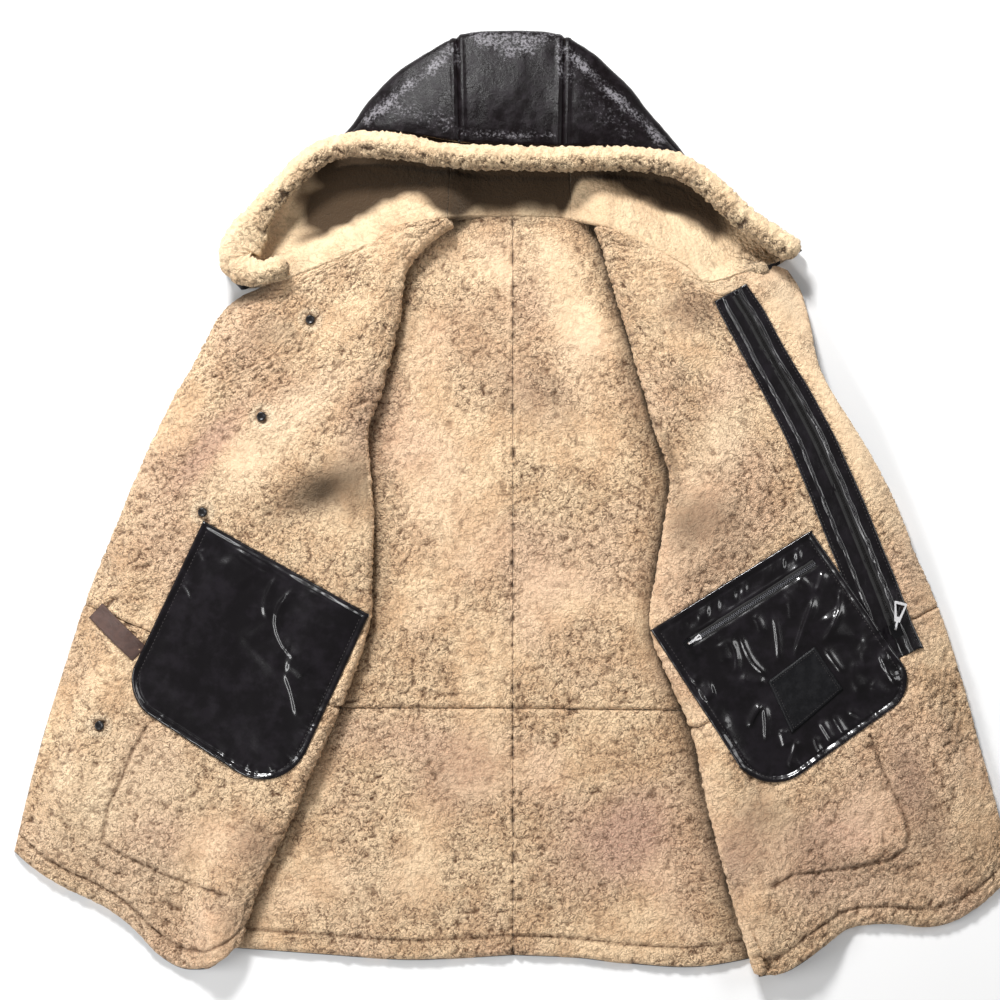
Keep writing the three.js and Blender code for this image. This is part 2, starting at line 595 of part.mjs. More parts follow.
// A solid from rings of points, closed at both ends.
function solidFromRings(rings) {
  const count = rings[0].length;
  const points = rings.flat();
  const faces = [];
  const at = (i, j) => i * count + (j % count);
  for (let i = 0; i + 1 < rings.length; i++) {
    for (let j = 0; j < count; j++) {
      faces.push([at(i, j), at(i, j + 1), at(i + 1, j + 1)], [at(i, j), at(i + 1, j + 1), at(i + 1, j)]);
    }
  }
  [0, rings.length - 1].forEach((i) => {
    for (let j = 1; j + 1 < count; j++) {
      faces.push(i === 0 ? [at(i, 0), at(i, j + 1), at(i, j)] : [at(i, 0), at(i, j), at(i, j + 1)]);
    }
  });
  return meshFrom(points, faces);
}

add("hood_rim", rolledEdge(), wool);

// The height of the highest of some meshes at a place; 0 where none of them lies.
const triangle = [new THREE.Vector3(), new THREE.Vector3(), new THREE.Vector3()];
function topOf(meshes, x, y) {
  let top = 0;
  meshes.forEach(({ geometry }) => {
    const position = geometry.getAttribute("position");
    const index = geometry.getIndex();
    for (let i = 0; i < index.count; i += 3) {
      triangle.forEach((corner, k) => corner.fromBufferAttribute(position, index.getX(i + k)));
      const [a, b, c] = triangle;
      const area = (b.x - a.x) * (c.y - a.y) - (c.x - a.x) * (b.y - a.y);
      if (Math.abs(area) < 1e-6) continue;
      const v = ((x - a.x) * (c.y - a.y) - (c.x - a.x) * (y - a.y)) / area;
      const w = ((b.x - a.x) * (y - a.y) - (x - a.x) * (b.y - a.y)) / area;
      if (v < 0 || w < 0 || v + w > 1) continue;
      top = Math.max(top, a.z + v * (b.z - a.z) + w * (c.z - a.z));
    }
  });
  return top;
}

// Highest place of some meshes close round a point, so that a flat piece clears the facets between.
function clearTop(meshes, x, y, reach) {
  const steps = [-reach, 0, reach];
  return Math.max(...steps.flatMap((dx) => steps.map((dy) => topOf(meshes, x + dx, y + dy))));
}

// A flat piece that follows what it lies on.
function laidOn(meshes, plan, thickness, height = lift, reach = 3) {
  const grid = plan.map((row) =>
    row.map(({ x, y }) => new THREE.Vector3(x, y, clearTop(meshes, x, y, reach) + height + thickness / 2)),
  );
  const raise = (sign) =>
    grid.map((row) =>
      row.map(({ x, y, z }) => new THREE.Vector3(x, y, z + (sign * thickness) / 2)),
    );
  return wall({ outer: raise(1), inner: raise(-1) });
}

// A place inside four corners: u runs along the first edge, v away from it.
function inCorners(corners, u, v) {
  const [a, b, c, d] = corners;
  return {
    x: mix(mix(a.x, b.x, u), mix(d.x, c.x, u), v),
    y: mix(mix(a.y, b.y, u), mix(d.y, c.y, u), v),
  };
}

// Rows of places over a pocket, with its two lower corners rounded.
function pocketPlan(corners, radii) {
  const wide = Math.hypot(corners[1].x - corners[0].x, corners[1].y - corners[0].y);
  const deep = Math.hypot(corners[3].x - corners[0].x, corners[3].y - corners[0].y);
  const rowShares = [0, 0.1, 0.2, 0.3, 0.4, 0.5, 0.6, 0.7];
  const cornerSteps = [0.25, 0.45, 0.65, 0.8, 0.92, 1];
  const starts = radii.map((radius) => 1 - radius / deep);
  const start = Math.min(...starts);
  const shares = [...rowShares.filter((v) => v < start - 0.02), start];
  cornerSteps.forEach((step) => shares.push(mix(start, 1, step)));
  return shares.map((v) => {
    const [near, far] = radii.map((radius, k) => {
      const into = Math.max(0, (v - starts[k]) / (1 - starts[k]));
      return (radius / wide) * (1 - Math.sqrt(1 - into * into));
    });
    const across = Array.from({ length: 11 }, (_, k) => k / 10);
    return across.map((t) => inCorners(corners, mix(near, 1 - far, t), v));
  });
}

const leftFronts = [fronts[0], fronts[1]];
const rightFronts = [fronts[2], fronts[3]];
add("pocket_left", laidOn(leftFronts, pocketPlan(leftPocket, leftRounds), leather), pouch);

// Rows across a band of changing width along a middle line.
function bandPlan(rows, across) {
  return rows.map((row, i) => {
    const before = rows[Math.max(i - 1, 0)];
    const after = rows[Math.min(i + 1, rows.length - 1)];
    const length = Math.hypot(after.x - before.x, after.y - before.y);
    const sideX = -(after.y - before.y) / length;
    const sideY = (after.x - before.x) / length;
    return across.map((share) => {
      const reach = share(row);
      return { x: row.x + sideX * reach, y: row.y + sideY * reach };
    });
  });
}

const stripShares = [-0.5, -0.25, 0, 0.25, 0.5].map((share) => (row) => share * row.wide);
const stripPlan = bandPlan(stripRows, stripShares);
const stripMesh = add("zip_strip", laidOn(rightFronts, stripPlan, leather, lift, 4), pouch);
const chainEdges = [-chain.wide / 2, chain.wide / 2];
const chainShares = chainEdges.map((edge) => (row) => (chain.across - 0.5) * row.wide + edge);
const [neckEnd, neckNext] = stripRows;
const chainStart = { ...neckEnd, x: mix(neckEnd.x, neckNext.x, 0.15), y: mix(neckEnd.y, neckNext.y, 0.15) };
const chainRows = [chainStart, ...stripRows.slice(1, -1)];
add("zip_chain", laidOn([stripMesh], bandPlan(chainRows, chainShares), chain.high, zipLift, 1), black);

const onRight = [...rightFronts, stripMesh];
const rightPlan = pocketPlan(rightPocket, rightRounds);
const pocketMesh = add("pocket_right", laidOn(onRight, rightPlan, leather, overStrip, 6), pouch);
const pocketDeep = Math.hypot(rightPocket[3].x - rightPocket[0].x, rightPocket[3].y - rightPocket[0].y);
const zipSteps = 11;
const pocketZipPlan = Array.from({ length: zipSteps + 1 }, (_, k) => {
  const u = mix(pocketZip.from, pocketZip.to, k / zipSteps);
  const share = pocketZip.wide / 2 / pocketDeep;
  return [-share, share].map((v) => inCorners(rightPocket, u, pocketZip.depth + v));
});
add("pocket_zip_chain", laidOn([pocketMesh], pocketZipPlan, pocketZip.high, zipLift, 1), black);
const quarters = [0, 0.25, 0.5, 0.75, 1];
const patchPlan = quarters.map((v) => quarters.map((u) => inCorners(patchCorners, u, v)));
add("patch", laidOn([pocketMesh], patchPlan, patchThick, patchLift, 1), patch);

// The strap: a straight band that ends short of the pocket's edge.
const strapPlan = quarters.map((t) => {
  const wayX = strap.toX - strap.fromX;
  const wayY = strap.toY - strap.fromY;
  const length = Math.hypot(wayX, wayY);
  const x = mix(strap.fromX, strap.toX, t);
  const y = mix(strap.fromY, strap.toY, t);
  return [-0.5, 0, 0.5].map((share) => ({
    x: x - (share * strap.wide * wayY) / length,
    y: y + (share * strap.wide * wayX) / length,
  }));
});
add("strap", laidOn(leftFronts, strapPlan, strap.thick, strapLift), brown);

// Small round buttons, domed on top, that rest on the wool.
buttons.forEach(({ x, y }, i) => {
  const profile = [
    new THREE.Vector2(0, 0),
    new THREE.Vector2(button.radius * 0.85, 0),
    new THREE.Vector2(button.radius, button.high * 0.35),
    new THREE.Vector2(button.radius * 0.9, button.high * 0.8),
    new THREE.Vector2(button.radius * 0.45, button.high),
    new THREE.Vector2(0, button.high * 0.92),
  ];
  const geometry = new THREE.LatheGeometry(profile, 14);
  const mesh = add("button_" + (i + 1), geometry, black);
  mesh.rotation.x = Math.PI / 2;
  mesh.position.set(x, y, clearTop(leftFronts, x, y, button.radius * 0.8) + buttonLift);
});

// Manifold solids, for the slider and its pull
function solid(geometry, place = new THREE.Matrix4()) {
  const bare = geometry.clone().applyMatrix4(place);
  bare.deleteAttribute("normal");
  bare.deleteAttribute("uv");
  const merged = mergeVertices(bare, 1e-4);
  const vertProperties = new Float32Array(merged.getAttribute("position").array);
  const triVerts = new Uint32Array(merged.getIndex().array);
  return new wasm.Manifold(new wasm.Mesh({ numProp: 3, vertProperties, triVerts }));
}

function toGeometry(body) {
  const { vertProperties, triVerts, numProp } = body.getMesh();
  const count = vertProperties.length / numProp;
  const position = new Float32Array(count * 3);
  for (let i = 0; i < count; i++) {
    position.set(vertProperties.subarray(i * numProp, i * numProp + 3), i * 3);
  }
  const geometry = new THREE.BufferGeometry();
  geometry.setAttribute("position", new THREE.BufferAttribute(position, 3));
  geometry.setIndex(new THREE.BufferAttribute(new Uint32Array(triVerts), 1));
  geometry.computeVertexNormals();
  return geometry;
}

const at = (x, y, z) => new THREE.Matrix4().makeTranslation(x, y, z);

// A zip slider: a flat body with two lugs and a pin between them. The pin is over its own origin, and
// its +Y points along the pull.
function sliderGeometry({ long, wide, high, skew }) {
  const place = new THREE.Matrix4().makeRotationZ(skew).multiply(at(0, -long * pin.forward, high / 2));
  const body = solid(new THREE.BoxGeometry(wide, long, high), place);
  const lugAt = pin.gap / 2 + pin.lug / 2;
  const lugHigh = 2 * pin.rise;
  const lugs = [-1, 1].map((side) => {
    const block = new THREE.BoxGeometry(pin.lug, pin.lugLong, lugHigh + seam);
    return solid(block, at(side * lugAt, 0, high + (lugHigh - seam) / 2));
  });
  const bar = new THREE.CylinderGeometry(pin.radius, pin.radius, pin.gap + pin.lug, 10);
  const turned = new THREE.Matrix4().makeRotationZ(Math.PI / 2).setPosition(0, 0, high + pin.rise);
  return toGeometry(body.add(lugs[0]).add(lugs[1]).add(solid(bar, turned)));
}

// A pull tab: an eye round the pin, a stem, and a blade that widens to its end and has a slot.
function pullGeometry({ long, wide, foot, thick, slot }) {
  const neck = pin.gap - 2 * pin.beside;
  const hole = pin.radius + pin.clearance;
  const { eyeWall, stem: start, corner, slotFrom, slotTo, slotNarrow } = pullForm;
  const end = hole + long;
  const eye = new THREE.Matrix4().makeRotationZ(Math.PI / 2);
  const knuckle = solid(new THREE.CylinderGeometry(hole + eyeWall, hole + eyeWall, neck, 14), eye);
  const stem = solid(new THREE.BoxGeometry(neck, start + 1 - hole, thick), at(0, (start + 1 + hole) / 2, 0));
  const outline = new THREE.Shape();
  outline.moveTo(-foot / 2, start);
  outline.lineTo(foot / 2, start);
  outline.lineTo(wide / 2, end - corner);
  outline.quadraticCurveTo(wide / 2, end, wide / 2 - corner, end);
  outline.lineTo(-wide / 2 + corner, end);
  outline.quadraticCurveTo(-wide / 2, end, -wide / 2, end - corner);
  outline.closePath();
  const opening = new THREE.Path();
  opening.moveTo(-slot * slotNarrow, mix(start, end, slotFrom));
  opening.lineTo(slot * slotNarrow, mix(start, end, slotFrom));
  opening.lineTo(slot / 2, mix(start, end, slotTo));
  opening.lineTo(-slot / 2, mix(start, end, slotTo));
  opening.closePath();
  outline.holes.push(opening);
  const flat = new THREE.ExtrudeGeometry(outline, { depth: thick, bevelEnabled: false, curveSegments: 3 });
  const blade = solid(flat, at(0, 0, -thick / 2));
  const bore = solid(new THREE.CylinderGeometry(hole, hole, neck + 2, 14), eye);
  return toGeometry(knuckle.add(stem).add(blade).subtract(bore));
}

// The slider on its chain, and the pull tab, which leans from the pin down to what lies below its tip.
function zipHardware(name, slider, pull, under) {
  const group = new THREE.Group();
  const base = clearTop(under, slider.x, slider.y, slider.wide / 2) + sliderLift;
  group.position.set(slider.x, slider.y, base);
  group.rotation.z = slider.turn;
  const body = new THREE.Mesh(sliderGeometry(slider), steel);
  body.name = name + "_slider";
  const tab = new THREE.Mesh(pullGeometry(pull), steel);
  tab.name = name + "_pull";
  tab.position.z = slider.high + pin.rise;
  const tipX = slider.x - Math.sin(slider.turn) * pull.long;
  const tipY = slider.y + Math.cos(slider.turn) * pull.long;
  const below = base + tab.position.z - clearTop(under, tipX, tipY, pull.wide / 2) - pull.thick;
  const reach = pull.long + pin.radius + pin.clearance;
  tab.rotation.x = -Math.asin(Math.min(below / reach, pullForm.mostLean));
  group.add(body, tab);
  coat.add(group);
}

const chainMesh = coat.getObjectByName("zip_chain");
const pocketChainMesh = coat.getObjectByName("pocket_zip_chain");
zipHardware("zip", frontSlider, frontPull, [stripMesh, chainMesh]);
zipHardware("pocket_zip", pocketSlider, pocketPull, [pocketMesh, pocketChainMesh]);

export default coat;
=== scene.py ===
"""The looks of a hooded shearling coat that lies open on its back, wool side up.

Sizes are in millimetres and become metres when a mesh is made. X runs across the coat, Y from hem to
hood and Z up from the surface. Each panel is a grid of middle points with a skin on one side and wool
on the other. What lies on the wool takes its height from a map of the panels' tops.
"""
import math

import bpy
import numpy as np
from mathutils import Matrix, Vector


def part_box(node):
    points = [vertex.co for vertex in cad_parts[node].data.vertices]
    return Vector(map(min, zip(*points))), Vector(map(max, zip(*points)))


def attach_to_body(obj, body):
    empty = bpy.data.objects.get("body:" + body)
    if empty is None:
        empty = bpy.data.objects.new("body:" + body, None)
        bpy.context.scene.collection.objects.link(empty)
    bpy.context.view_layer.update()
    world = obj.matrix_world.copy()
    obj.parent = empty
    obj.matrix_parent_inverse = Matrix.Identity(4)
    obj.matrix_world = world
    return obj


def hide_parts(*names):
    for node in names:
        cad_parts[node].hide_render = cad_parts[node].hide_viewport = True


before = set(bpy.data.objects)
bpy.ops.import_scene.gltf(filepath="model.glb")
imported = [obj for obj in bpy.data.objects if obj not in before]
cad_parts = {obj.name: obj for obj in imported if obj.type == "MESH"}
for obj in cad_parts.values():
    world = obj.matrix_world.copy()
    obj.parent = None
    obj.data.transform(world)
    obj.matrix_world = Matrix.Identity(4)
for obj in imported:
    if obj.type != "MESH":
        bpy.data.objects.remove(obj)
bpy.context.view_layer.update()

# Sizes of the cut, the same as the solids have
SHEARLING = 9.0
HALF = SHEARLING / 2
SKIN = 1.5
WOOL = SHEARLING - SKIN
ROLL_RADIUS = 6.4
LOW_LEVEL = SHEARLING + 0.3 + HALF
SLEEVE_HIGH = 19.0
HIGH_LEVEL = SLEEVE_HIGH + 0.8 + HALF
DROP_START = 10.0
DROP_LENGTH = 38.0
CUFF_BRIDGE = 60.0
ROLL_SWELL = 4.0
WAIST_ROW = 11
CELL = 2.05  # a mesh cell where the wool shows
HIDDEN_CELL = 9.0
SLEEVE_COLUMNS = 14
UNDER_STEP = 5  # the hidden skin keeps every fifth place
HOLLOW = 0.3  # share of the wool's depth that a shaded patch sinks
SEAM_DEEP = 2.6  # how far a line of sewing sinks into the wool
BIG_CURL = 7.6
SMALL_CURL = 4.4
FAR = 900.0  # keeps the places that soft hills are read at above zero
ROLL_SHADE = {"left": 0.6, "right": 1.2}  # painted shade beside each front's roll: how dark the back is painted where the roll shades it
FREE = (7.0, 1.0)  # a free edge's round: radius and share of the wool's depth
HEM_STITCH = 22.0
LEFT_ROUNDS = (38.0, 60.0)  # a pocket's lower corners
RIGHT_ROUNDS = (52.0, 36.0)
LEATHER_LIFT = 1.2
POUCH_THICK = 1.3
STRIP_THICK = 1.4
PATCH_THICK = 1.2
STRAP_THICK = 1.8
TAPE_THICK = 0.7
TAPE_WIDE = 10.4

# Across each front: side or shoulder seam, tip of the roll, outer edge
LEFT_ROWS = np.array([
    (-89, 309, -62, 306, -300, 223),
    (-151, 281, -91, 284, -316, 211),
    (-227, 246, -117, 251, -329, 194),
    (-235, 210, -124, 205, -342, 168),
    (-239, 163, -134, 160, -356, 141),
    (-243, 111, -146, 114, -372, 116),
    (-247, 64, -160, 75, -387, 86),
    (-251, 18, -156, 26, -403, 54),
    (-254, -40, -153, -29, -418, 18),
    (-259, -98, -155, -84, -433, -18),
    (-263, -161, -157, -139, -449, -56),
    (-263, -230, -188, -228, -472, -116),
    (-274, -293, -215, -288, -492, -179),
    (-287, -359, -243, -354, -512, -244),
    (-302, -424, -276, -422, -531, -315),
    (-319, -491, -298, -491, -547, -387),
], float)
RIGHT_ROWS = np.array([
    (104, 303, 88, 301, 305, 254),
    (151, 274, 96, 285, 319, 232),
    (215, 236, 103, 262, 328, 199),
    (235, 210, 113, 226, 332, 168),
    (239, 163, 127, 180, 340, 139),
    (243, 111, 141, 130, 355, 111),
    (247, 64, 155, 78, 374, 81),
    (251, 18, 172, 23, 394, 48),
    (254, -40, 166, -29, 413, 13),
    (259, -98, 157, -84, 429, -23),
    (263, -161, 152, -150, 443, -60),
    (263, -234, 193, -250, 468, -118),
    (274, -300, 208, -318, 490, -186),
    (287, -372, 224, -383, 510, -260),
    (302, -444, 242, -452, 530, -337),
    (319, -490, 263, -520, 547, -411),
], float)
COLUMNS = np.array([0, 0.07, 0.15, 0.24, 0.34, 0.44, 0.54, 0.64, 0.74, 0.84, 0.93, 1])
LEFT_NECK = np.array([310, 308, 305, 299, 285, 274, 264, 255, 246, 238, 230, 223], float)
RIGHT_NECK = np.array([302, 295, 287, 279, 269, 257, 240, 242, 248, 255, 259, 254], float)
LEFT_HEM = np.array([-498, -509, -515, -513, -498, -473, -454, -441, -430, -417, -402, -387], float)
RIGHT_HEM = np.array([-521, -519, -506, -489, -472, -467, -467, -470, -466, -452, -432, -411], float)
HEM_MIDDLE = (0, -500)
WAIST_MIDDLE = -230.0
HEM_BOW = 0.45
NECK_BOW = (1, 0.8, 0.35)
SHOULDER = np.array([(0, 316), (50, 314), (89, 307), (151, 287), (229, 257)], float)
LEFT_HEM_DROP = np.array([-500, -504, -505, -499, -491], float)
RIGHT_HEM_DROP = np.array([-500, -503, -509, -512, -490], float)

# Each side: its way across, its front's rows, neck and hem, and its back's hem
SIDES = {
    "left": (-1, LEFT_ROWS, LEFT_NECK, LEFT_HEM, LEFT_HEM_DROP),
    "right": (1, RIGHT_ROWS, RIGHT_NECK, RIGHT_HEM, RIGHT_HEM_DROP),
}

# Rounds at the first and last row and column of a panel: radius and share of the wool's depth
FRONT_EDGES = {
    "upper": ((4, 0.8), (5, 0.5), (2, 1), FREE),
    "lower": ((5, 0.5), (8, 1), (2, 1), FREE),
}
BACK_EDGES = {
    "upper": ((3, 0.8), (5, 0.6), (4, 0.05), (1, 1)),
    "lower": ((5, 0.6), (8, 1), (4, 0.1), (1, 1)),
}

# A sleeve pressed flat: outer edge, inner edge
SLEEVE_ROWS = np.array([
    (233, 249, 253, 16),
    (270, 214, 255, -2),
    (302, 166, 258, -24),
    (331, 114, 262, -51),
    (355, 64, 265, -84),
    (375, 9, 268, -123),
    (399, -57, 273, -167),
    (419, -123, 282, -211),
    (440, -200, 294, -255),
    (454, -255, 305, -293),
    (463, -293, 317, -326),
], float)

# Across the hood: neck edge and its share of the fronts' level, fold, end of the upper layer and its rise
HOOD_ROWS = np.array([
    (-264, 238, 1, -302, 234, -296, 235, 0),
    (-241, 246, 1, -322, 262, -315, 261, 0),
    (-218, 255, 1, -308, 294, -302, 291, 0),
    (-196, 264, 1, -281, 322, -276, 318, 0),
    (-173, 274, 1, -252, 352, -247, 347, 0),
    (-150, 285, 1, -222, 383, -218, 377, 0),
    (-127, 299, 1, -187, 407, -184, 400, 0.1),
    (-107, 305, 1, -156, 446, -143, 404, 0.7),
    (-89, 308, 1, -118, 482, -104, 399, 0.9),
    (-73, 310, 1, -61, 515, -59, 391, 1),
    (-35, 315.6, 0, -20, 521, -20, 388, 1),
    (20, 315.6, 0, 20, 521, 18, 387, 1),
    (66, 312, 0, 56, 515, 54, 386, 1),
    (99, 302, 1, 85, 497, 82, 386, 1),
    (113, 295, 1, 120, 465, 118, 387, 0.9),
    (130, 287, 1, 156, 424, 153, 385, 0.6),
    (148, 279, 1, 190, 381, 186, 375, 0.1),
    (169, 269, 1, 215, 359, 211, 353, 0),
    (190, 257, 1, 239, 337, 235, 332, 0),
    (210, 240, 1, 263, 315, 259, 310, 0),
    (231, 242, 1, 286, 300, 281, 295, 0),
    (251, 248.4, 1, 308, 286, 303, 282, 0),
    (272, 255.4, 1, 322, 274, 316, 272, 0),
], float)
HOOD_SEAMS = (9, 12)
HOOD_ROLL_RADIUS = 5.5
NECK_FALL = 0.62
FOREHEAD_RISE = 22.0

# Painted highlight on the hood's skin, pale flecks for its mottled sheen: lines with a width and a strength
SHEEN_BANDS = (
    (((-70, 496), (-97, 467), (-127, 443), (-157, 418)), 10, 1.0),
    (((-122, 428), (-96, 418), (-72, 412)), 14, 0.8),
    (((-60, 401), (0, 399.5), (44, 400)), 5, 0.8),
    (((57, 497), (89, 464), (113, 441), (143, 412), (160, 394)), 8, 1.0),
    (((58, 470), (90, 430), (125, 405)), 20, 0.5),
    (((-62, 500), (-60, 480)), 5, 0.7),
    (((50, 503), (52, 470)), 5, 0.8),
)
CROWN_SHEEN = (474.0, 0.0109)  # lower border of the crown's painted highlight in the middle, and its rise to the sides

# The rolled edge of the hood
ROLL_WIDE = 26.0
ROLL_HIGH = 24.0
ROLL_COLUMNS = 46
HOOK_RUN = 86.0  # how far along the left end's hook is full
ROLL_ROWS = np.array([
    (-246, 257, 42.9), (-271, 247, 39.9), (-294, 246, 35.9), (-309, 259, 32.9), (-309, 277, 32.4),
    (-295, 297, 32.4), (-275, 318, 32.4), (-252, 343, 32.4), (-230, 366, 32.9), (-208, 381, 34.9),
    (-180, 388, 37.4), (-148, 388, 39.4), (-115, 384, 40.9), (-87, 378, 41.9), (-45, 374, 42.4),
    (0, 373, 42.9), (45, 372, 42.9), (88, 372, 42.4), (124, 372, 41.4), (158, 370, 38.9),
    (184, 364, 35.9), (208, 350, 33.4), (234, 327, 32.4), (257, 306, 32.4), (280, 290, 32.4),
    (300, 277, 32.9), (312, 266, 32.9),
], float)

LEFT_POCKET = np.array([(-339, -25), (-157, -128), (-250, -332), (-429, -217)], float)
RIGHT_POCKET = np.array([(150, -145), (326, -36), (444, -209), (271, -332)], float)
PATCH = np.array([(278, -201), (329, -163), (360, -210), (304, -258)], float)
PATCH_SIZE = (61.0, 60.0)
POCKET_ZIP_DEPTH = 0.157
POCKET_ZIP_SPAN = (0.15, 0.92)
STRIP_ROWS = np.array([
    (239, 226, 40), (248, 210, 43), (257, 195, 45), (274, 163, 45), (291, 132, 46), (304, 109, 48),
    (318, 82, 49), (330, 57, 51), (341, 31, 52), (350, 10, 53), (359, -12, 54), (370, -40, 54),
    (381, -68, 54), (391, -93, 55), (401, -119, 55), (409, -143, 56), (416, -161, 57), (422, -175, 58),
], float)
CHAIN_ACROSS = 0.62
STRIP_SEAMS = (0.24, 0.55, 0.74)
STRAP = np.array([(-458, -123), (-408, -171)], float)
STRAP_WIDE = 22.0
BUTTONS = np.array([(-223, 196), (-276, 89), (-340, -16), (-451, -249)], float)
BUTTON_RADIUS = 5.2

# Lines of sewing that press into the wool: the outer pockets' stitches show through
LEFT_STITCH = np.array([
    (-400, -250), (-415, -277), (-429, -312), (-441, -336), (-448, -376), (-412, -395), (-385, -409),
    (-346, -424), (-311, -433),
], float)
RIGHT_STITCH = np.array([
    (389, -259), (404, -300), (426, -345), (432, -369), (428, -383), (411, -394), (382, -400),
    (329, -409), (304, -411), (280, -425),
], float)

# Soft patches on the wool: middle, reach along and across, turn in degrees, how far light (+) or shade (-)
# is painted on it, how calm its curls are, and how pink
PATCHES = {
    "left": [
        (-182, 12, 56, 34, 8, -0.6, 0.4, 0), (-225, 2, 50, 20, 25, -0.55, 0.1, 0.1),
        (-262, 66, 104, 30, 45, 0.6, 0.75, 0), (-284, 232, 52, 14, 22, -1.0, 0.6, 0),
        (-262, 180, 34, 16, 10, -0.35, 0.5, 0), (-330, 60, 60, 16, 52, -0.15, 0.4, 0.8),
        (-215, 250, 60, 16, 30, 0.35, 0.2, 0), (-168, 90, 20, 60, -10, -0.15, 0.0, 0.4),
        (-400, -300, 40, 60, 0, 0.3, 0.2, 0.5), (-335, -372, 80, 30, -10, -0.25, 0.2, 0.4),
        (-410, -370, 130, 110, 0, 0.4, 0.1, 0),
        (-300, -455, 30, 60, 20, -0.35, 0.2, 0.2), (-265, -395, 26, 60, 30, -0.4, 0.2, 0.3),
        (-465, -330, 34, 50, 20, 0.35, 0.3, 0),
    ],
    "right": [
        (211, -23, 44, 30, -14, -0.5, 0.4, 0), (186, -44, 20, 26, 0, -0.3, 0.0, 0),
        (228, 66, 54, 32, 60, 0.6, 0.6, 0),
        (210, 246, 80, 14, -32, 0.5, 0.5, 0), (371, 75, 200, 17, -64, 0.55, 0.75, 0),
        (303, 226, 32, 26, 0, 0.6, 0.4, 0), (171, 42, 11, 30, 15, -0.7, 0.5, 0),
        (197, 205, 34, 26, 0, -0.4, 0.0, 0.3), (240, 130, 50, 24, 50, 0.1, 0.2, 0.6),
        (222, -75, 70, 12, 25, -0.3, 0.1, 0), (400, -430, 90, 22, 10, 0.35, 0.3, 0.2),
        (370, -350, 60, 40, 0, 0.3, 0.2, 0.3), (250, -380, 24, 80, -20, -0.3, 0.2, 0.3),
        (445, -330, 22, 70, 20, -0.3, 0.2, 0.5), (320, -360, 70, 22, -20, -0.25, 0.3, 0),
        (370, -400, 130, 90, 0, -0.14, 0.0, 0.3),
    ],
    "back": [
        (66, 205, 30, 105, 14, 0.5, 0.85, 0), (-20, 270, 76, 34, 0, 0.25, 0.5, 0.1),
        (-25, 170, 70, 60, 0, -0.05, 0.2, 0.3), (30, 110, 60, 34, -15, -0.25, 0.0, 0.2),
        (-60, -300, 60, 50, 0, -0.15, 0.2, 0.7), (96, -385, 66, 50, 20, -0.1, 0.2, 0.9),
        (140, -345, 40, 36, 0, -0.1, 0.2, 0.9), (-130, -262, 60, 26, 0, 0.1, 0.1, 0.6),
        (-140, -420, 70, 40, 20, 0.3, 0.2, 0.1), (40, -90, 80, 70, 0, 0.15, 0.2, 0.2),
        (-90, 10, 50, 80, 0, 0.2, 0.2, 0.3),
    ],
}

# Colours of all the wool, and how far its curls and the leather's grain stand up, in metres
# PALE_WOOL is the colour of painted light on the wool, SHADED_WOOL that of painted shade
PALE_WOOL = (0.88, 0.69, 0.47, 1)
SHADED_WOOL = (0.050, 0.029, 0.0145, 1)
CURL_HIGH = 0.0034
GRAIN_HIGH = 0.0006

# Soft folds of the fronts: two ends, reach to each side and height
FRONT_FOLDS = {
    "left": [((-175, 60), (-300, -10), 26, 3.5), ((-185, -60), (-170, 150), 16, 3.0),
             ((-205, -190), (-235, -330), 17, 4.0), ((-330, 150), (-250, 190), 22, 2.5),
             ((-420, -330), (-500, -300), 30, 3.0), ((-330, -440), (-345, -510), 18, 8.0),
             ((-230, 120), (-330, 40), 20, 2.5)],
    "right": [((195, 60), (300, -20), 24, 3.5), ((190, -60), (150, 170), 16, 3.0),
              ((215, -200), (235, -340), 17, 4.5), ((250, -420), (285, -515), 20, 7.0),
              ((330, -400), (440, -385), 17, 4.5), ((470, -330), (520, -260), 28, 3.0),
              ((215, 190), (150, 110), 20, 2.5), ((255, 238), (300, 235), 16, 3.0)],
}

# A few sharp creases near the left pouch's inner side, by a curve's three places, width and height
LEFT_FOLDS = [
    (((-258, -85), (-271, -114), (-266, -135)), 2.6, 1.9),
    (((-238, -98), (-259, -138), (-233, -180)), 2.2, 2.3),
    (((-250, -189), (-241, -213), (-235, -242)), 2.2, 2.2),
    (((-297, -142), (-273, -172), (-248, -188)), 9, 2.4),
    (((-250, -182), (-236, -186), (-226, -198)), 8, 2.6),
    (((-362, -94), (-355, -100), (-351, -112)), 2.6, 1.2),
    (((-343, -56), (-340, -62), (-336, -70)), 2.6, 1.0),
    (((-320, -66), (-306, -80), (-290, -100)), 9, 1.6),
    (((-305, -56), (-282, -72), (-262, -82)), 4.0, 1.6),
    (((-284, -60), (-262, -76), (-238, -90)), 2.6, 1.4),
    (((-232, -100), (-222, -120), (-226, -150)), 9, 1.4),
]

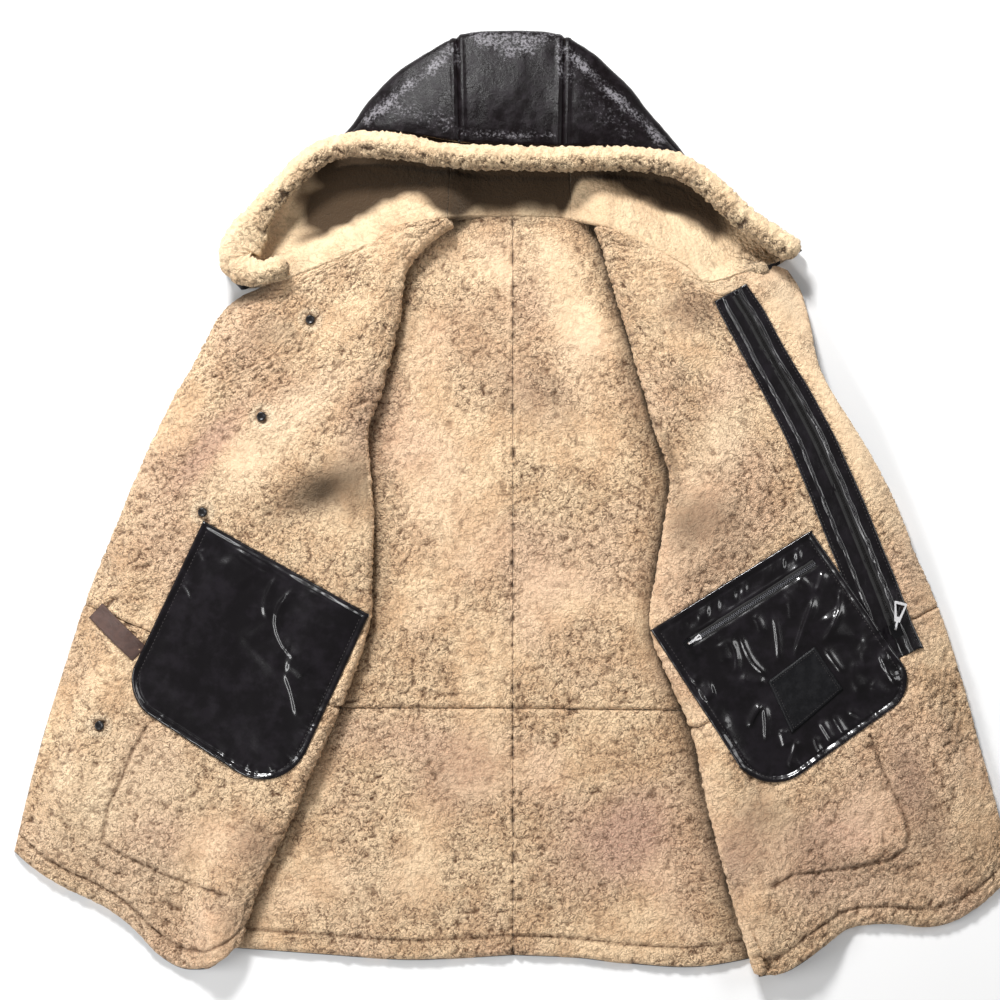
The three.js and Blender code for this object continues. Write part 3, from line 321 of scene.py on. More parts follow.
# Folds that fan out from the right pouch's patch, in the same way
RIGHT_FOLDS = [
    (((247, -145), (261, -180), (283, -195)), 2.1, 1.8),
    (((283, -124), (288, -150), (289.6, -184)), 2.1, 1.6),
    (((331, -104), (317, -141), (306, -178)), 2.4, 2.2),
    (((339, -79), (336, -92), (330, -106)), 2.6, 1.6),
    (((224, -158), (229, -170), (230, -182)), 5.5, 1.7),
    (((234, -154), (243, -171), (242, -194)), 2.2, 1.6),
    (((356, -92), (354, -128), (333, -162)), 2.2, 1.6),
    (((341, -126), (348, -140), (350, -160)), 9, 2.6),
    (((245, -197), (262, -201), (277, -201)), 4.0, 1.8),
    (((257, -253), (263, -238), (272.6, -225)), 2.4, 2.4),
    (((272.6, -224), (275, -244), (274.8, -268)), 2.2, 2.2),
    (((291, -252), (294, -262), (297, -274)), 3.2, 2.0),
    (((309, -262), (305, -280), (299, -296)), 2.4, 2.0),
    (((333, -242), (341, -255), (349, -268)), 2.6, 1.9),
    (((329, -258), (332, -272), (342, -281)), 2.4, 1.6),
    (((348, -236), (355, -248), (363, -260)), 2.4, 1.6),
    (((363, -231), (377, -238), (391, -244)), 3.0, 1.8),
    (((338, -162), (349, -178), (361, -194)), 2.4, 1.6),
    (((391, -146), (383, -168), (389, -196)), 4.6, 2.0),
    (((400, -167), (405, -183), (420, -207)), 2.6, 1.6),
    (((387, -203), (399, -211), (414, -216)), 3.4, 1.6),
    (((376, -176), (372, -196), (382, -214)), 5.0, 1.6),
    (((181, -186), (190, -197), (205, -201)), 3.0, 1.6),
    (((170, -163), (175, -176), (184, -189)), 2.2, 1.5),
    (((206, -222), (212, -216), (221, -212)), 5.0, 1.9),
    (((262, -128), (268, -138), (270, -150)), 3.0, 1.3),
    (((300, -112), (303, -122), (302, -134)), 2.6, 1.2),
    (((320, -85), (310, -100), (303, -118)), 7.0, 1.3),
    (((230, -262), (240, -280), (262, -296)), 4.0, 1.5),
    (((196, -206), (214, -238), (236, -258)), 6.0, 1.3),
]

# The camera looks straight down, but for a small lean from the hem's side
PHOTO_SCALE = 1.1
CAMERA_AWAY = 3.3
FLOOR_HALF = 6000.0
CAMERA_ELEVATION = 86.5
VIEW_CENTRE = (-0.0143, -0.0017, 0.015)

# Lights: place and size in metres, and power in watts
LIGHTS = (
    ("key", (-0.7, 2.2, 1.8), (0.7, 0.5), 112),
    ("left", (-2.3, -0.55, 1.7), (1.6, 0.6), 35),
    ("right", (2.2, 0.95, 1.7), (1.6, 0.6), 19),
    ("low", (-1.25, -2.0, 1.8), (1.2, 0.5), 24),
)


def smooth(t):
    """Rises from 0 to 1 with level ends: 3 t squared less 2 t cubed."""
    t = np.clip(t, 0, 1)
    return t * t * (3 - 2 * t)


def spline(values, places):
    """A curve through rows of values: the cubic whose slope at a row is half the step over its neighbours."""
    last = len(values) - 1
    i = np.clip(np.floor(places).astype(int), 0, last - 1)
    f = (places - i).reshape((-1,) + (1,) * (values.ndim - 1))
    a = values[np.maximum(i - 1, 0)]
    b = values[i]
    c = values[i + 1]
    d = values[np.minimum(i + 2, last)]
    return b + 0.5 * f * (c - a + f * (2 * a - 5 * b + 4 * c - d + f * (3 * (b - c) + d - a)))


def even_places(lengths, cells):
    """Places along a run of stretches, each split so that no cell is longer than its own limit."""
    counts = np.maximum(1, np.ceil(np.asarray(lengths) / np.asarray(cells))).astype(int)
    parts = [i + np.arange(n) / n for i, n in enumerate(counts)]
    return np.concatenate(parts + [np.array([len(counts)])])


def steps_of(line):
    """Lengths of a line's stretches."""
    return np.linalg.norm(np.diff(line, axis=0), axis=1)


def run_of(line):
    """Length from a line's start to each of its places."""
    return np.concatenate([[0], np.cumsum(steps_of(line))])


def unit(ways):
    """Ways of length one."""
    return ways / np.maximum(np.linalg.norm(ways, axis=-1, keepdims=True), 1e-9)


def left_of(ways):
    """The level way to the left of each way."""
    return np.stack([-ways[:, 1], ways[:, 0]], -1)


def bell(distance, wide, power=2):
    """1 at no distance, falling as e to the minus power of distance over width."""
    return np.exp(-(distance / wide) ** power)


def steps_along(grid, axis):
    """Lengths of the steps between neighbours along one way of a grid."""
    return np.linalg.norm(np.diff(grid, axis=axis), axis=-1)


def run_along(grid, axis):
    """Length from the first place to each place, along one way of a grid."""
    steps = steps_along(grid, axis)
    pad = [(0, 0), (0, 0)]
    pad[axis] = (1, 0)
    return np.pad(np.cumsum(steps, axis=axis), pad)


def refine(control, row_cell, column_cells):
    """A fine grid through a coarse one, and the place of each coarse row in it."""
    row_places = even_places(steps_along(control, 0).mean(1), row_cell)
    column_places = even_places(steps_along(control, 1).mean(0), column_cells)
    rows = spline(control, row_places)
    fine = spline(rows.transpose(1, 0, 2), column_places).transpose(1, 0, 2)
    found = np.searchsorted(row_places, np.arange(len(control)) - 1e-6)
    return fine, found, column_places


def normals_of(grid):
    """Unit normals: the cross product of the two ways of the grid."""
    across = np.gradient(grid, axis=0)
    along = np.gradient(grid, axis=1)
    return unit(np.cross(along, across))


def scatter(i, j, seed):
    """A steady number from 0 to 1 for each whole cell: its two counts mixed by multiplying and shifting."""
    n = (i.astype(np.int64) * 374761393 + j.astype(np.int64) * 668265263 + seed * 974634777) & 0xFFFFFFFF
    n = ((n ^ (n >> 13)) * 1274126177) & 0xFFFFFFFF
    n = ((n ^ (n >> 16)) * 2246822519) & 0xFFFFFFFF
    return ((n ^ (n >> 15)) & 0xFFFFFF) / float(0xFFFFFF)


def waves(u, v, size, seed):
    """Soft random hills from 0 to 1: the scattered numbers of a cell's corners, blended smoothly."""
    x = u / size
    y = v / size
    i = np.floor(x)
    j = np.floor(y)
    fx = smooth(x - i)
    fy = smooth(y - j)
    low = scatter(i, j, seed) * (1 - fx) + scatter(i + 1, j, seed) * fx
    high = scatter(i, j + 1, seed) * (1 - fx) + scatter(i + 1, j + 1, seed) * fx
    return low * (1 - fy) + high * fy


def locks(u, v, size, seed):
    """Distance, in cells, from the nearest of points scattered one to a cell."""
    x = u / size
    y = v / size
    i = np.floor(x)
    j = np.floor(y)
    nearest = np.full(np.shape(x), 9.0)
    for di in (-1, 0, 1):
        for dj in (-1, 0, 1):
            px = i + di + scatter(i + di, j + dj, seed)
            py = j + dj + scatter(i + di, j + dj, seed + 7)
            nearest = np.minimum(nearest, (x - px) ** 2 + (y - py) ** 2)
    return np.sqrt(nearest)


def pile(u, v, seed):
    """Height and crevice of curly wool: domes round scattered points, in two sizes, on bent coordinates."""
    bend_u = u + 5.0 * (waves(u, v, 7.0, seed + 1) - 0.5) + 2.2 * (waves(u, v, 3.0, seed + 2) - 0.5)
    bend_v = v + 5.0 * (waves(u, v, 7.0, seed + 3) - 0.5) + 2.2 * (waves(u, v, 3.0, seed + 4) - 0.5)
    big = locks(bend_u, bend_v * 1.15, BIG_CURL, seed + 5)
    small = locks(bend_u, bend_v, SMALL_CURL, seed + 6)
    drift = waves(u, v, 19.0, seed + 8)
    height = 3.6 * (0.5 - big) + 2.1 * (0.5 - small) + 1.6 * (drift - 0.5)
    # The crevice marks where the colour darkens between curls, as painted shade
    crevice = smooth((big - 0.5) / 0.45) * 0.8 + smooth((small - 0.52) / 0.4) * 0.5
    return height, np.clip(crevice * (0.45 + 1.1 * (1 - drift)), 0, 1)


def line_distance(x, y, line):
    """Distance from each place to a broken line, and how far along it that is."""
    nearest = np.full(np.shape(x), 1e9)
    where = np.zeros(np.shape(x))
    run = 0.0
    for a, b in zip(line[:-1], line[1:]):
        way = b - a
        length = math.hypot(*way)
        t = np.clip(((x - a[0]) * way[0] + (y - a[1]) * way[1]) / length**2, 0, 1)
        d = np.hypot(x - a[0] - t * way[0], y - a[1] - t * way[1])
        closer = d < nearest
        nearest = np.where(closer, d, nearest)
        where = np.where(closer, run + t * length, where)
        run += length
    return nearest, where, run


def distance_to(x, y, line):
    """Distance from each place to a broken line."""
    return line_distance(x, y, line)[0]


def closed(outline):
    """An outline that ends where it starts."""
    return np.concatenate([outline, outline[:1]])


def patch_fields(x, y, patches):
    """Painted light and shade, calm and blush at each place: each patch adds a bell of its own in a turned
    ellipse.
    """
    fields = np.zeros((3,) + np.shape(x))
    for px, py, long, wide, turn, *amounts in patches:
        c, s = math.cos(math.radians(turn)), math.sin(math.radians(turn))
        along = ((x - px) * c + (y - py) * s) / long
        across = ((y - py) * c - (x - px) * s) / wide
        share = np.exp(-((along**2 + across**2) ** 1.5))
        fields += share * np.array(amounts)[:, None, None]
    return fields


def inside(x, y, outline):
    """Whether each place is inside an outline: a line from it crosses the outline an odd number of times."""
    odd = np.zeros(np.shape(x), bool)
    for a, b in zip(outline, np.roll(outline, -1, axis=0)):
        crosses = (a[1] > y) != (b[1] > y)
        rise = b[1] - a[1] if b[1] != a[1] else 1e-9
        odd ^= crosses & (x < a[0] + (y - a[1]) / rise * (b[0] - a[0]))
    return odd


def mesh_piece(name, points, faces, materials, face_material=None, values=None, shade_smooth=True):
    """A mesh object at the origin from points in millimetres and arrays of three- or four-cornered faces."""
    mesh = bpy.data.meshes.new(name)
    points = np.asarray(points, float).reshape(-1, 3) * 0.001
    groups = faces if isinstance(faces, list) else [faces]
    corners = np.concatenate([np.full(len(g), g.shape[1]) for g in groups])
    count = len(corners)
    mesh.vertices.add(len(points))
    mesh.vertices.foreach_set("co", points.astype(np.float32).ravel())
    mesh.loops.add(int(corners.sum()))
    mesh.loops.foreach_set("vertex_index", np.concatenate([g.ravel() for g in groups]).astype(np.int32))
    mesh.polygons.add(count)
    mesh.polygons.foreach_set("loop_start", (np.cumsum(corners) - corners).astype(np.int32))
    if face_material is not None:
        mesh.polygons.foreach_set("material_index", face_material.astype(np.int32))
    for material in materials:
        mesh.materials.append(material)
    mesh.update(calc_edges=True)
    for key, value in (values or {}).items():
        mesh.attributes.new(key, "FLOAT", "POINT").data.foreach_set("value", value.astype(np.float32).ravel())
    mesh.polygons.foreach_set("use_smooth", np.broadcast_to(shade_smooth, count).copy())
    mesh.validate()
    piece = bpy.data.objects.new(name, mesh)
    bpy.context.scene.collection.objects.link(piece)
    return piece


def outward(points, faces):
    """The faces, turned over if the closed shape's signed volume is below zero."""
    p = np.asarray(points, float).reshape(-1, 3)
    groups = faces if isinstance(faces, list) else [faces]
    volume = 0.0
    for group in groups:
        for k in range(1, group.shape[1] - 1):
            cross = np.cross(p[group[:, k]], p[group[:, k + 1]])
            volume += np.einsum("ij,ij->i", p[group[:, 0]], cross).sum()
    turned = groups if volume > 0 else [group[:, ::-1] for group in groups]
    return turned if isinstance(faces, list) else turned[0]


def attach(piece, slot, *nodes):
    """The piece rides on the coat in place of the solids named; slot is not used."""
    if nodes:
        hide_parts(*nodes)
    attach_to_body(piece, "coat")
    return piece


def grid_faces(rows, columns, start=0, closed=False):
    """Four-cornered faces between neighbours of a grid; closed joins the last column to the first."""
    i = np.arange(rows - 1)[:, None]
    j = np.arange(columns if closed else columns - 1)[None, :]
    k = (j + 1) % columns
    corners = [i * columns + j, i * columns + k, (i + 1) * columns + k, (i + 1) * columns + j]
    return np.stack(np.broadcast_arrays(*corners), -1).reshape(-1, 4) + start


def ring_of(index):
    """The places round the edge of a grid, in order."""
    return np.concatenate([index[0, :-1], index[:-1, -1], index[-1, :0:-1], index[:0:-1, 0]])


def wall(top, under, step, bare=None):
    """Points and faces of a wall: a fine upper skin, a lower one of every few places, and a strip between.

    Each place on the upper edge belongs to the kept place at or before it; a stretch of the strip is a
    triangle, and a second one where its two ends belong to different kept places.
    """
    rows, columns = top.shape[:2]
    keep_rows = np.unique(np.append(np.arange(0, rows, step), rows - 1))
    keep_columns = np.unique(np.append(np.arange(0, columns, step), columns - 1))
    coarse = under[keep_rows][:, keep_columns]
    count = rows * columns
    upper = grid_faces(rows, columns)
    lower = grid_faces(len(keep_rows), len(keep_columns), count)[:, ::-1]
    ring = ring_of(np.arange(count).reshape(rows, columns))
    row_of = np.searchsorted(keep_rows, np.arange(rows), side="right") - 1
    column_of = np.searchsorted(keep_columns, np.arange(columns), side="right") - 1
    below = ring_of(count + row_of[:, None] * len(keep_columns) + column_of[None, :])
    after = np.roll(ring, -1)
    below_after = np.roll(below, -1)
    strip = np.stack([after, ring, below], -1)
    step_on = below != below_after
    second = np.stack([after, below, below_after], -1)[step_on]
    points = np.concatenate([top.reshape(-1, 3), coarse.reshape(-1, 3)])
    kinds = np.repeat([0, 1, 1, 1], [len(upper), len(lower), len(strip), len(second)])
    if bare is not None:
        kinds[: len(upper)] = bare.ravel()[upper].any(axis=1)
        start = len(upper) + len(lower)
        kinds[start : start + len(strip)] = bare.ravel()[ring]
        kinds[start + len(strip) :] = bare.ravel()[ring][step_on]
    round_skins = np.arange(len(kinds)) < len(upper) + len(lower)
    return points, [upper, lower, strip, second], kinds, round_skins


def round_edge(distance, radius):
    """A quarter round: from 0 at an edge to 1 at the radius."""
    t = np.clip(distance / max(radius, 1e-6), 0, 1)
    return np.sqrt(1 - (1 - t) ** 2)


def dip(distance, radius, depth):
    """What is left of the wool near an edge: a quarter round that takes off a share of its depth."""
    return 1 - depth * (1 - round_edge(distance, radius))


def shearling(name, middle, nodes, materials, turn, rounds, seed, shift=(0, 0),
              press=None, groove=None, fade=None, slot="wool", seam_shade=0.35, looks=None,
              skin_form=None, under_step=UNDER_STEP, painted_glint=None):
    """A shearling wall: skin half a wall behind the middle, wool in front, rounded down at its four edges.

    The wool's height is its full depth and the pile, times the edge's round, less what presses on it.
    """
    normal = normals_of(middle) * turn
    u = run_along(middle, 1)
    v = run_along(middle, 0)
    first_row, last_row, first_column, last_column = rounds
    edge = dip(v, *first_row) * dip(v[-1] - v, *last_row)
    edge = edge * dip(u, *first_column) * dip(u[:, -1:] - u, *last_column)
    height, crevice = pile(u + shift[0], v + shift[1], seed)
    painted_shading, calm, blush = np.zeros((3,) + edge.shape) if looks is None else looks
    drift = 0.55 * smooth((waves(u + shift[0], v + shift[1], 60.0, seed + 20) - 0.48) / 0.3)
    calm = np.clip(calm + drift, 0, 1) * edge
    height = height * (1 - 0.65 * calm) * (1 if fade is None else fade)
    crevice = crevice * (1 - 0.75 * calm)
    pressed = np.zeros(edge.shape) if press is None else press
    pressed = np.clip(pressed + HOLLOW * np.clip(-painted_shading, 0, 1), 0, 0.6)
    sunk = np.zeros(edge.shape) if groove is None else groove
    wool = WOOL * edge * (1 - pressed) + height * (0.35 + 0.65 * edge) * (1 - pressed)
    wool = wool - SEAM_DEEP * sunk * edge
    top = middle + normal * (SKIN - HALF + np.maximum(wool, 0.05))[..., None]
    under = middle - normal * (HALF + (0 if skin_form is None else skin_form[..., None]))
    under[..., 2] = np.maximum(under[..., 2], 0.02)
    top[..., 2] = np.maximum(top[..., 2], 0.05)
    bare = (edge < 0.05) & (waves(u, v, 30.0, seed + 30) > 0.4)
    points, faces, kinds, round_skins = wall(top, under, under_step, bare)
    # Painted shade: darker in the crevices between curls, along sunk lines and where the wool dips at the
    # edges
    dark = np.clip(crevice + 0.7 * sunk + seam_shade * (1 - edge) ** 2, 0, 1)
    fields = {"crevice": dark, "painted_shading": painted_shading, "calm": calm, "blush": blush}
    values = {key: np.pad(f.ravel(), (0, len(points) - f.size)) for key, f in fields.items()}
    # Painted highlight flecks go on the skin only
    if painted_glint is not None:
        values["painted_glint"] = np.concatenate([0 * painted_glint.ravel(), painted_glint.ravel()])
    piece = mesh_piece(name, points, outward(points, faces), materials, kinds, values, round_skins)
    attach(piece, slot, *nodes)
    return top


class HeightMap:
    """The highest of many points in each cell of a plan, with holes filled from beside and then smoothed."""

    def __init__(self, clouds, cell=3.0, passes=3):
        points = np.concatenate([c.reshape(-1, 3) for c in clouds])
        self.clouds = clouds
        self.cell = cell
        self.low = points[:, :2].min(0) - 4 * cell
        count = np.ceil((points[:, :2].max(0) + 4 * cell - self.low) / cell).astype(int) + 1
        high = np.full(count, -1.0)
        place = np.round((points[:, :2] - self.low) / cell).astype(int)
        np.maximum.at(high, (place[:, 0], place[:, 1]), points[:, 2])
        for _ in range(8):
            shifted = [np.roll(high, s, axis=a) for a in (0, 1) for s in (-1, 1)]
            high = np.where(high < 0, np.maximum.reduce(shifted), high)
        for _ in range(passes):
            high = (high * 2 + sum(np.roll(high, s, axis=a) for a in (0, 1) for s in (-1, 1))) / 6
        self.high = high

    def at(self, x, y):
        """Height at each place, blended between the four cells round it."""
        px = np.clip((x - self.low[0]) / self.cell, 0, self.high.shape[0] - 1.001)
        py = np.clip((y - self.low[1]) / self.cell, 0, self.high.shape[1] - 1.001)
        i = px.astype(int)
        j = py.astype(int)
        fx = px - i
        fy = py - j
        h = self.high
        low = h[i, j] * (1 - fx) + h[i + 1, j] * fx
        high = h[i, j + 1] * (1 - fx) + h[i + 1, j + 1] * fx
        return low * (1 - fy) + high * fy


# Materials

class Nodes:
    """Short calls that add nodes to a tree: a value is set on a socket, and a socket is linked to it."""

    def __init__(self, tree):
        self.tree = tree

    def put(self, node, inputs):
        """Sets or links each of a node's sockets."""
        for key, value in inputs.items():
            if isinstance(value, bpy.types.NodeSocket):
                self.tree.links.new(value, node.inputs[key])
            else:
                node.inputs[key].default_value = value

    def add(self, kind, inputs=None, **settings):
        node = self.tree.nodes.new("ShaderNode" + kind)
        for key, value in settings.items():
            setattr(node, key, value)
        self.put(node, inputs or {})
        return node

    def place(self):
        """Coordinates on the object."""
        return self.add("TexCoord").outputs["Object"]

    def field(self, name):
        """An attribute of the piece's own mesh."""
        return self.add("Attribute", attribute_name=name).outputs["Fac"]

    def noise(self, place, scale, detail, rough=0.5, out="Fac"):
        inputs = {"Vector": place, "Scale": scale, "Detail": detail, "Roughness": rough}
        return self.add("TexNoise", inputs).outputs[out]

    def cells(self, place, scale, feature="F1"):
        return self.add("TexVoronoi", {"Vector": place, "Scale": scale}, feature=feature).outputs["Distance"]

    def vector(self, operation, inputs):
        return self.add("VectorMath", inputs, operation=operation).outputs[0]

    def mix(self, a, b, factor):
        """Colour a, and colour b where the factor is 1."""
        return self.add("Mix", {0: factor, 6: a, 7: b}, data_type="RGBA").outputs[2]

    def maths(self, operation, a, b, clamp=False):
        return self.add("Math", {0: a, 1: b}, operation=operation, use_clamp=clamp).outputs[0]

    def times(self, a, b, clamp=False):
        return self.maths("MULTIPLY", a, b, clamp)

    def plus(self, a, b, clamp=False):
        return self.maths("ADD", a, b, clamp)

    def ramp(self, value, low, high):
        """A smooth rise from 0 at the low value to 1 at the high one."""
        inputs = {"Value": value, "From Min": low, "From Max": high}
        return self.add("MapRange", inputs, interpolation_type="SMOOTHSTEP").outputs["Result"]

    def bump(self, height, strength, distance):
        inputs = {"Height": height, "Strength": strength, "Distance": distance}
        return self.add("Bump", inputs).outputs["Normal"]


def new_group(name, inputs, outputs):
    """A shader node group with named sockets: a tuple makes a colour socket, a number a value socket."""
    group = bpy.data.node_groups.new(name, "ShaderNodeTree")
    for key, value in inputs.items():
        kind = "NodeSocketColor" if isinstance(value, tuple) else "NodeSocketFloat"
        group.interface.new_socket(key, in_out="INPUT", socket_type=kind).default_value = value
    for key in outputs:
        kind = "NodeSocketColor" if key == "Color" else "NodeSocketFloat"
        group.interface.new_socket(key, in_out="OUTPUT", socket_type=kind)
    return group, group.nodes.new("NodeGroupInput").outputs, Nodes(group)


def curl_group():
    """Wool at the size of single curls: colour, darkened between curls as painted shade, and their height."""
    white = (1, 1, 1, 1)
    black = (0, 0, 0, 1)
    group, given, tree = new_group(
        "wool curls",
        {"Light": white, "Middle": white, "Deep": black, "Pale": white, "Shade": black, "Blush": white,
         "Blush amount": 0.3, "Curl size": 300.0},
        ["Color", "Height"],
    )
    place = tree.place()
    bend = tree.noise(place, 190.0, 2.0, out="Color")
    offset = tree.vector("SUBTRACT", {0: bend, 1: (0.5, 0.5, 0.5)})
    bent = tree.vector("ADD", {0: place, 1: tree.vector("SCALE", {0: offset, "Scale": 0.009})})
    curl = tree.cells(bent, given["Curl size"])
    fibre = tree.noise(bent, 950.0, 3.0, 0.7)
    crevice = tree.field("crevice")
    painted_shading = tree.field("painted_shading")
    lively = tree.maths("SUBTRACT", 1.0, tree.times(tree.field("calm"), 0.75))
    patches = tree.ramp(tree.noise(place, 26.0, 3.0, 0.6), 0.36, 0.62)
    cast = tree.ramp(tree.noise(place, 6.5, 2.0), 0.46, 0.68)
    pink = tree.times(tree.field("blush"), 0.7)
    body = tree.mix(given["Middle"], given["Light"], patches)
    body = tree.mix(body, given["Blush"], tree.plus(tree.times(cast, given["Blush amount"]), pink, True))
    # Painted light: paler where the mesh marks light
    body = tree.mix(body, given["Pale"], tree.times(painted_shading, 0.8, True))
    # Painted shade between the curls, stronger in clusters and where the mesh marks crevices
    clusters = tree.ramp(tree.noise(place, 130.0, 2.0, 0.6), 0.4, 0.62)
    depth = tree.plus(tree.plus(0.42, tree.times(clusters, 0.38)), tree.times(crevice, 0.3))
    gaps = tree.times(tree.times(tree.ramp(curl, 0.45, 0.72), lively), depth)
    # Paler fibre tips: partly the fibre's colour, partly painted highlight
    body = tree.mix(body, given["Pale"], tree.times(tree.ramp(fibre, 0.35, 0.7), 0.5))
    # The painted shade between curls goes on here
    body = tree.mix(body, given["Deep"], gaps)
    body = tree.mix(body, given["Deep"], tree.times(crevice, 0.95))
    # Painted shade: darker where the mesh marks shade
    body = tree.mix(body, given["Shade"], tree.times(painted_shading, -0.92, True))
    raised = tree.plus(tree.times(curl, -1.0), tree.times(fibre, 0.45))
    tree.put(group.nodes.new("NodeGroupOutput"), {"Color": body, "Height": tree.times(raised, lively)})
    return group


def grain_group():
    """Leather at the size of its grain: pores, fine lines and creases as height, mottle, and pale flecks of
    painted highlight.
    """
    group, given, tree = new_group(
        "leather grain",
        {"Base": (0, 0, 0, 1), "Worn": (0.1, 0.1, 0.1, 1), "Glint": (0.21, 0.20, 0.215, 1),
         "Mottle size": 60.0, "Grain size": 900.0, "Rough low": 0.25, "Rough high": 0.5,
         "Crease size": 150.0, "Crease": 0.0},
        ["Color", "Roughness", "Height"],
    )
    place = tree.place()
    mottle = tree.ramp(tree.noise(place, given["Mottle size"], 6.0, 0.68), 0.42, 0.66)
    colour = tree.mix(given["Base"], given["Worn"], mottle)
    # Painted highlight: pale flecks that stand for a mottled sheen, where the mesh marks it
    painted_glint = tree.field("painted_glint")
    few = tree.maths("SUBTRACT", 0.62, tree.times(painted_glint, 0.24))
    glint_flecks = tree.ramp(tree.noise(place, 330.0, 4.0, 0.7), few, tree.plus(few, 0.2))
    colour = tree.mix(colour, given["Glint"], tree.times(glint_flecks, painted_glint))
    span = tree.maths("SUBTRACT", given["Rough high"], given["Rough low"])
    rough = tree.plus(given["Rough low"], tree.times(mottle, span))
    lines = tree.ramp(tree.cells(place, given["Grain size"], "DISTANCE_TO_EDGE"), 0.0, 0.16)
    pebble = tree.plus(tree.times(lines, 0.6), tree.times(tree.cells(place, given["Grain size"]), -0.3))
    crease = tree.times(tree.noise(place, given["Crease size"], 4.0, 0.6), given["Crease"])
    sink = group.nodes.new("NodeGroupOutput")
    tree.put(sink, {"Color": colour, "Roughness": rough, "Height": tree.plus(pebble, crease)})
    return group


def new_material(name):
    """A material, its Principled shader and the calls that add nodes to it."""
    material = bpy.data.materials.new(name)
    material.use_nodes = True
    tree = material.node_tree
    return material, tree.nodes["Principled BSDF"], Nodes(tree)


def wool_material(name, group, light, middle, deep, blush, blush_amount, curl_size, bump):
    """Rough wool with sheen, coloured and raised by the curls."""
    material, shader, tree = new_material(name)
    curl = tree.add("Group", node_tree=group)
    tree.put(curl, {
        "Light": light, "Middle": middle, "Deep": deep, "Pale": PALE_WOOL, "Shade": SHADED_WOOL,
        "Blush": blush, "Blush amount": blush_amount, "Curl size": curl_size,
    })
    tree.put(shader, {
        "Base Color": curl.outputs["Color"], "Normal": tree.bump(curl.outputs["Height"], bump, CURL_HIGH),
        "Roughness": 1.0, "Specular IOR Level": 0.1,
        "Sheen Weight": 0.25, "Sheen Roughness": 0.6, "Sheen Tint": (1.0, 0.9, 0.75, 1),
    })
    return material


def leather_material(name, group, base, wear_and_sheen, mottle, grain, rough, bump, coat=0.0, crease=(150.0, 0.0),
                     shine=0.5):
    """Leather: grain and mottle from the group, and a clear coat where it is polished."""
    material, shader, tree = new_material(name)
    hide = tree.add("Group", node_tree=group)
    tree.put(hide, {
        "Base": base, "Worn": wear_and_sheen, "Mottle size": mottle, "Grain size": grain,
        "Rough low": rough[0], "Rough high": rough[1], "Crease size": crease[0], "Crease": crease[1],
    })
    tree.put(shader, {
        "Base Color": hide.outputs["Color"], "Roughness": hide.outputs["Roughness"],
        "Normal": tree.bump(hide.outputs["Height"], bump, GRAIN_HIGH),
        "Specular IOR Level": shine, "Coat Weight": coat, "Coat Roughness": 0.12,
    })
    return material


def metal_material(name, colour, rough, scratch):
    """Polished metal with faint scratches in its roughness."""
    material, shader, tree = new_material(name)
    scratches = tree.times(tree.noise(tree.place(), 1400.0, 4.0), scratch)
    tree.put(shader, {"Base Color": colour, "Metallic": 1.0, "Roughness": tree.plus(rough, scratches)})
    return material


def plastic_material(name, colour, rough, scale):
    """Moulded plastic or thread with a fine uneven surface."""
    material, shader, tree = new_material(name)
    noise = tree.noise(tree.place(), scale, 3.0)
    lighter = tuple(min(1.0, c * 2.2 + 0.01) for c in colour[:3]) + (1,)
    tree.put(shader, {
        "Base Color": tree.mix(colour, lighter, tree.times(noise, 0.5)), "Roughness": rough,
        "Normal": tree.bump(noise, 0.25, 0.0003),
    })
    return material


CURLS = curl_group()
GRAIN = grain_group()
WOOL_TAN = wool_material(
    "wool on the body", CURLS, light=(0.90, 0.64, 0.395, 1), middle=(0.69, 0.435, 0.245, 1),
    deep=(0.105, 0.046, 0.020, 1), blush=(0.64, 0.37, 0.27, 1), blush_amount=0.4, curl_size=370.0, bump=0.8)
WOOL_PALE = wool_material(
    "wool on the hood", CURLS, light=(0.84, 0.63, 0.39, 1), middle=(0.68, 0.465, 0.27, 1),
    deep=(0.055, 0.024, 0.009, 1), blush=(0.70, 0.44, 0.29, 1), blush_amount=0.2, curl_size=320.0, bump=0.9)
HIDE = leather_material(
    "outer skin", GRAIN, base=(0.0045, 0.003, 0.0035, 1), wear_and_sheen=(0.011, 0.008, 0.010, 1), mottle=90.0,
    grain=1100.0, rough=(0.30, 0.42), bump=0.15, crease=(240.0, 8.0), shine=0.12)
POUCH = leather_material(
    "pocket leather", GRAIN, base=(0.0035, 0.0025, 0.0035, 1), wear_and_sheen=(0.0075, 0.0055, 0.008, 1), mottle=45.0,
    grain=1500.0, rough=(0.30, 0.36), bump=0.10, coat=0.8, crease=(90.0, 0.9), shine=0.22)
PATCH_HIDE = leather_material(
    "patch leather", GRAIN, base=(0.0034, 0.0034, 0.0044, 1), wear_and_sheen=(0.0058, 0.0058, 0.0072, 1), mottle=120.0,
    grain=1900.0, rough=(0.42, 0.52), bump=0.2, shine=0.25)
STRAP_HIDE = leather_material(
    "strap leather", GRAIN, base=(0.066, 0.034, 0.026, 1), wear_and_sheen=(0.10, 0.054, 0.042, 1), mottle=140.0,
    grain=1300.0, rough=(0.5, 0.7), bump=0.4)
STEEL = metal_material("nickel", (0.80, 0.79, 0.80, 1), 0.34, 0.16)
BLACK_STEEL = metal_material("black nickel", (0.06, 0.06, 0.065, 1), 0.2, 0.15)
DARK_STEEL = metal_material("dark nickel", (0.12, 0.12, 0.13, 1), 0.24, 0.2)
BLACK = plastic_material("black fittings", (0.008, 0.007, 0.007, 1), 0.28, 700.0)
TAPE = plastic_material("zip tape", (0.005, 0.0045, 0.0045, 1), 0.8, 2600.0)
THREAD = plastic_material("thread", (0.035, 0.03, 0.03, 1), 0.6, 3000.0)


# Forms

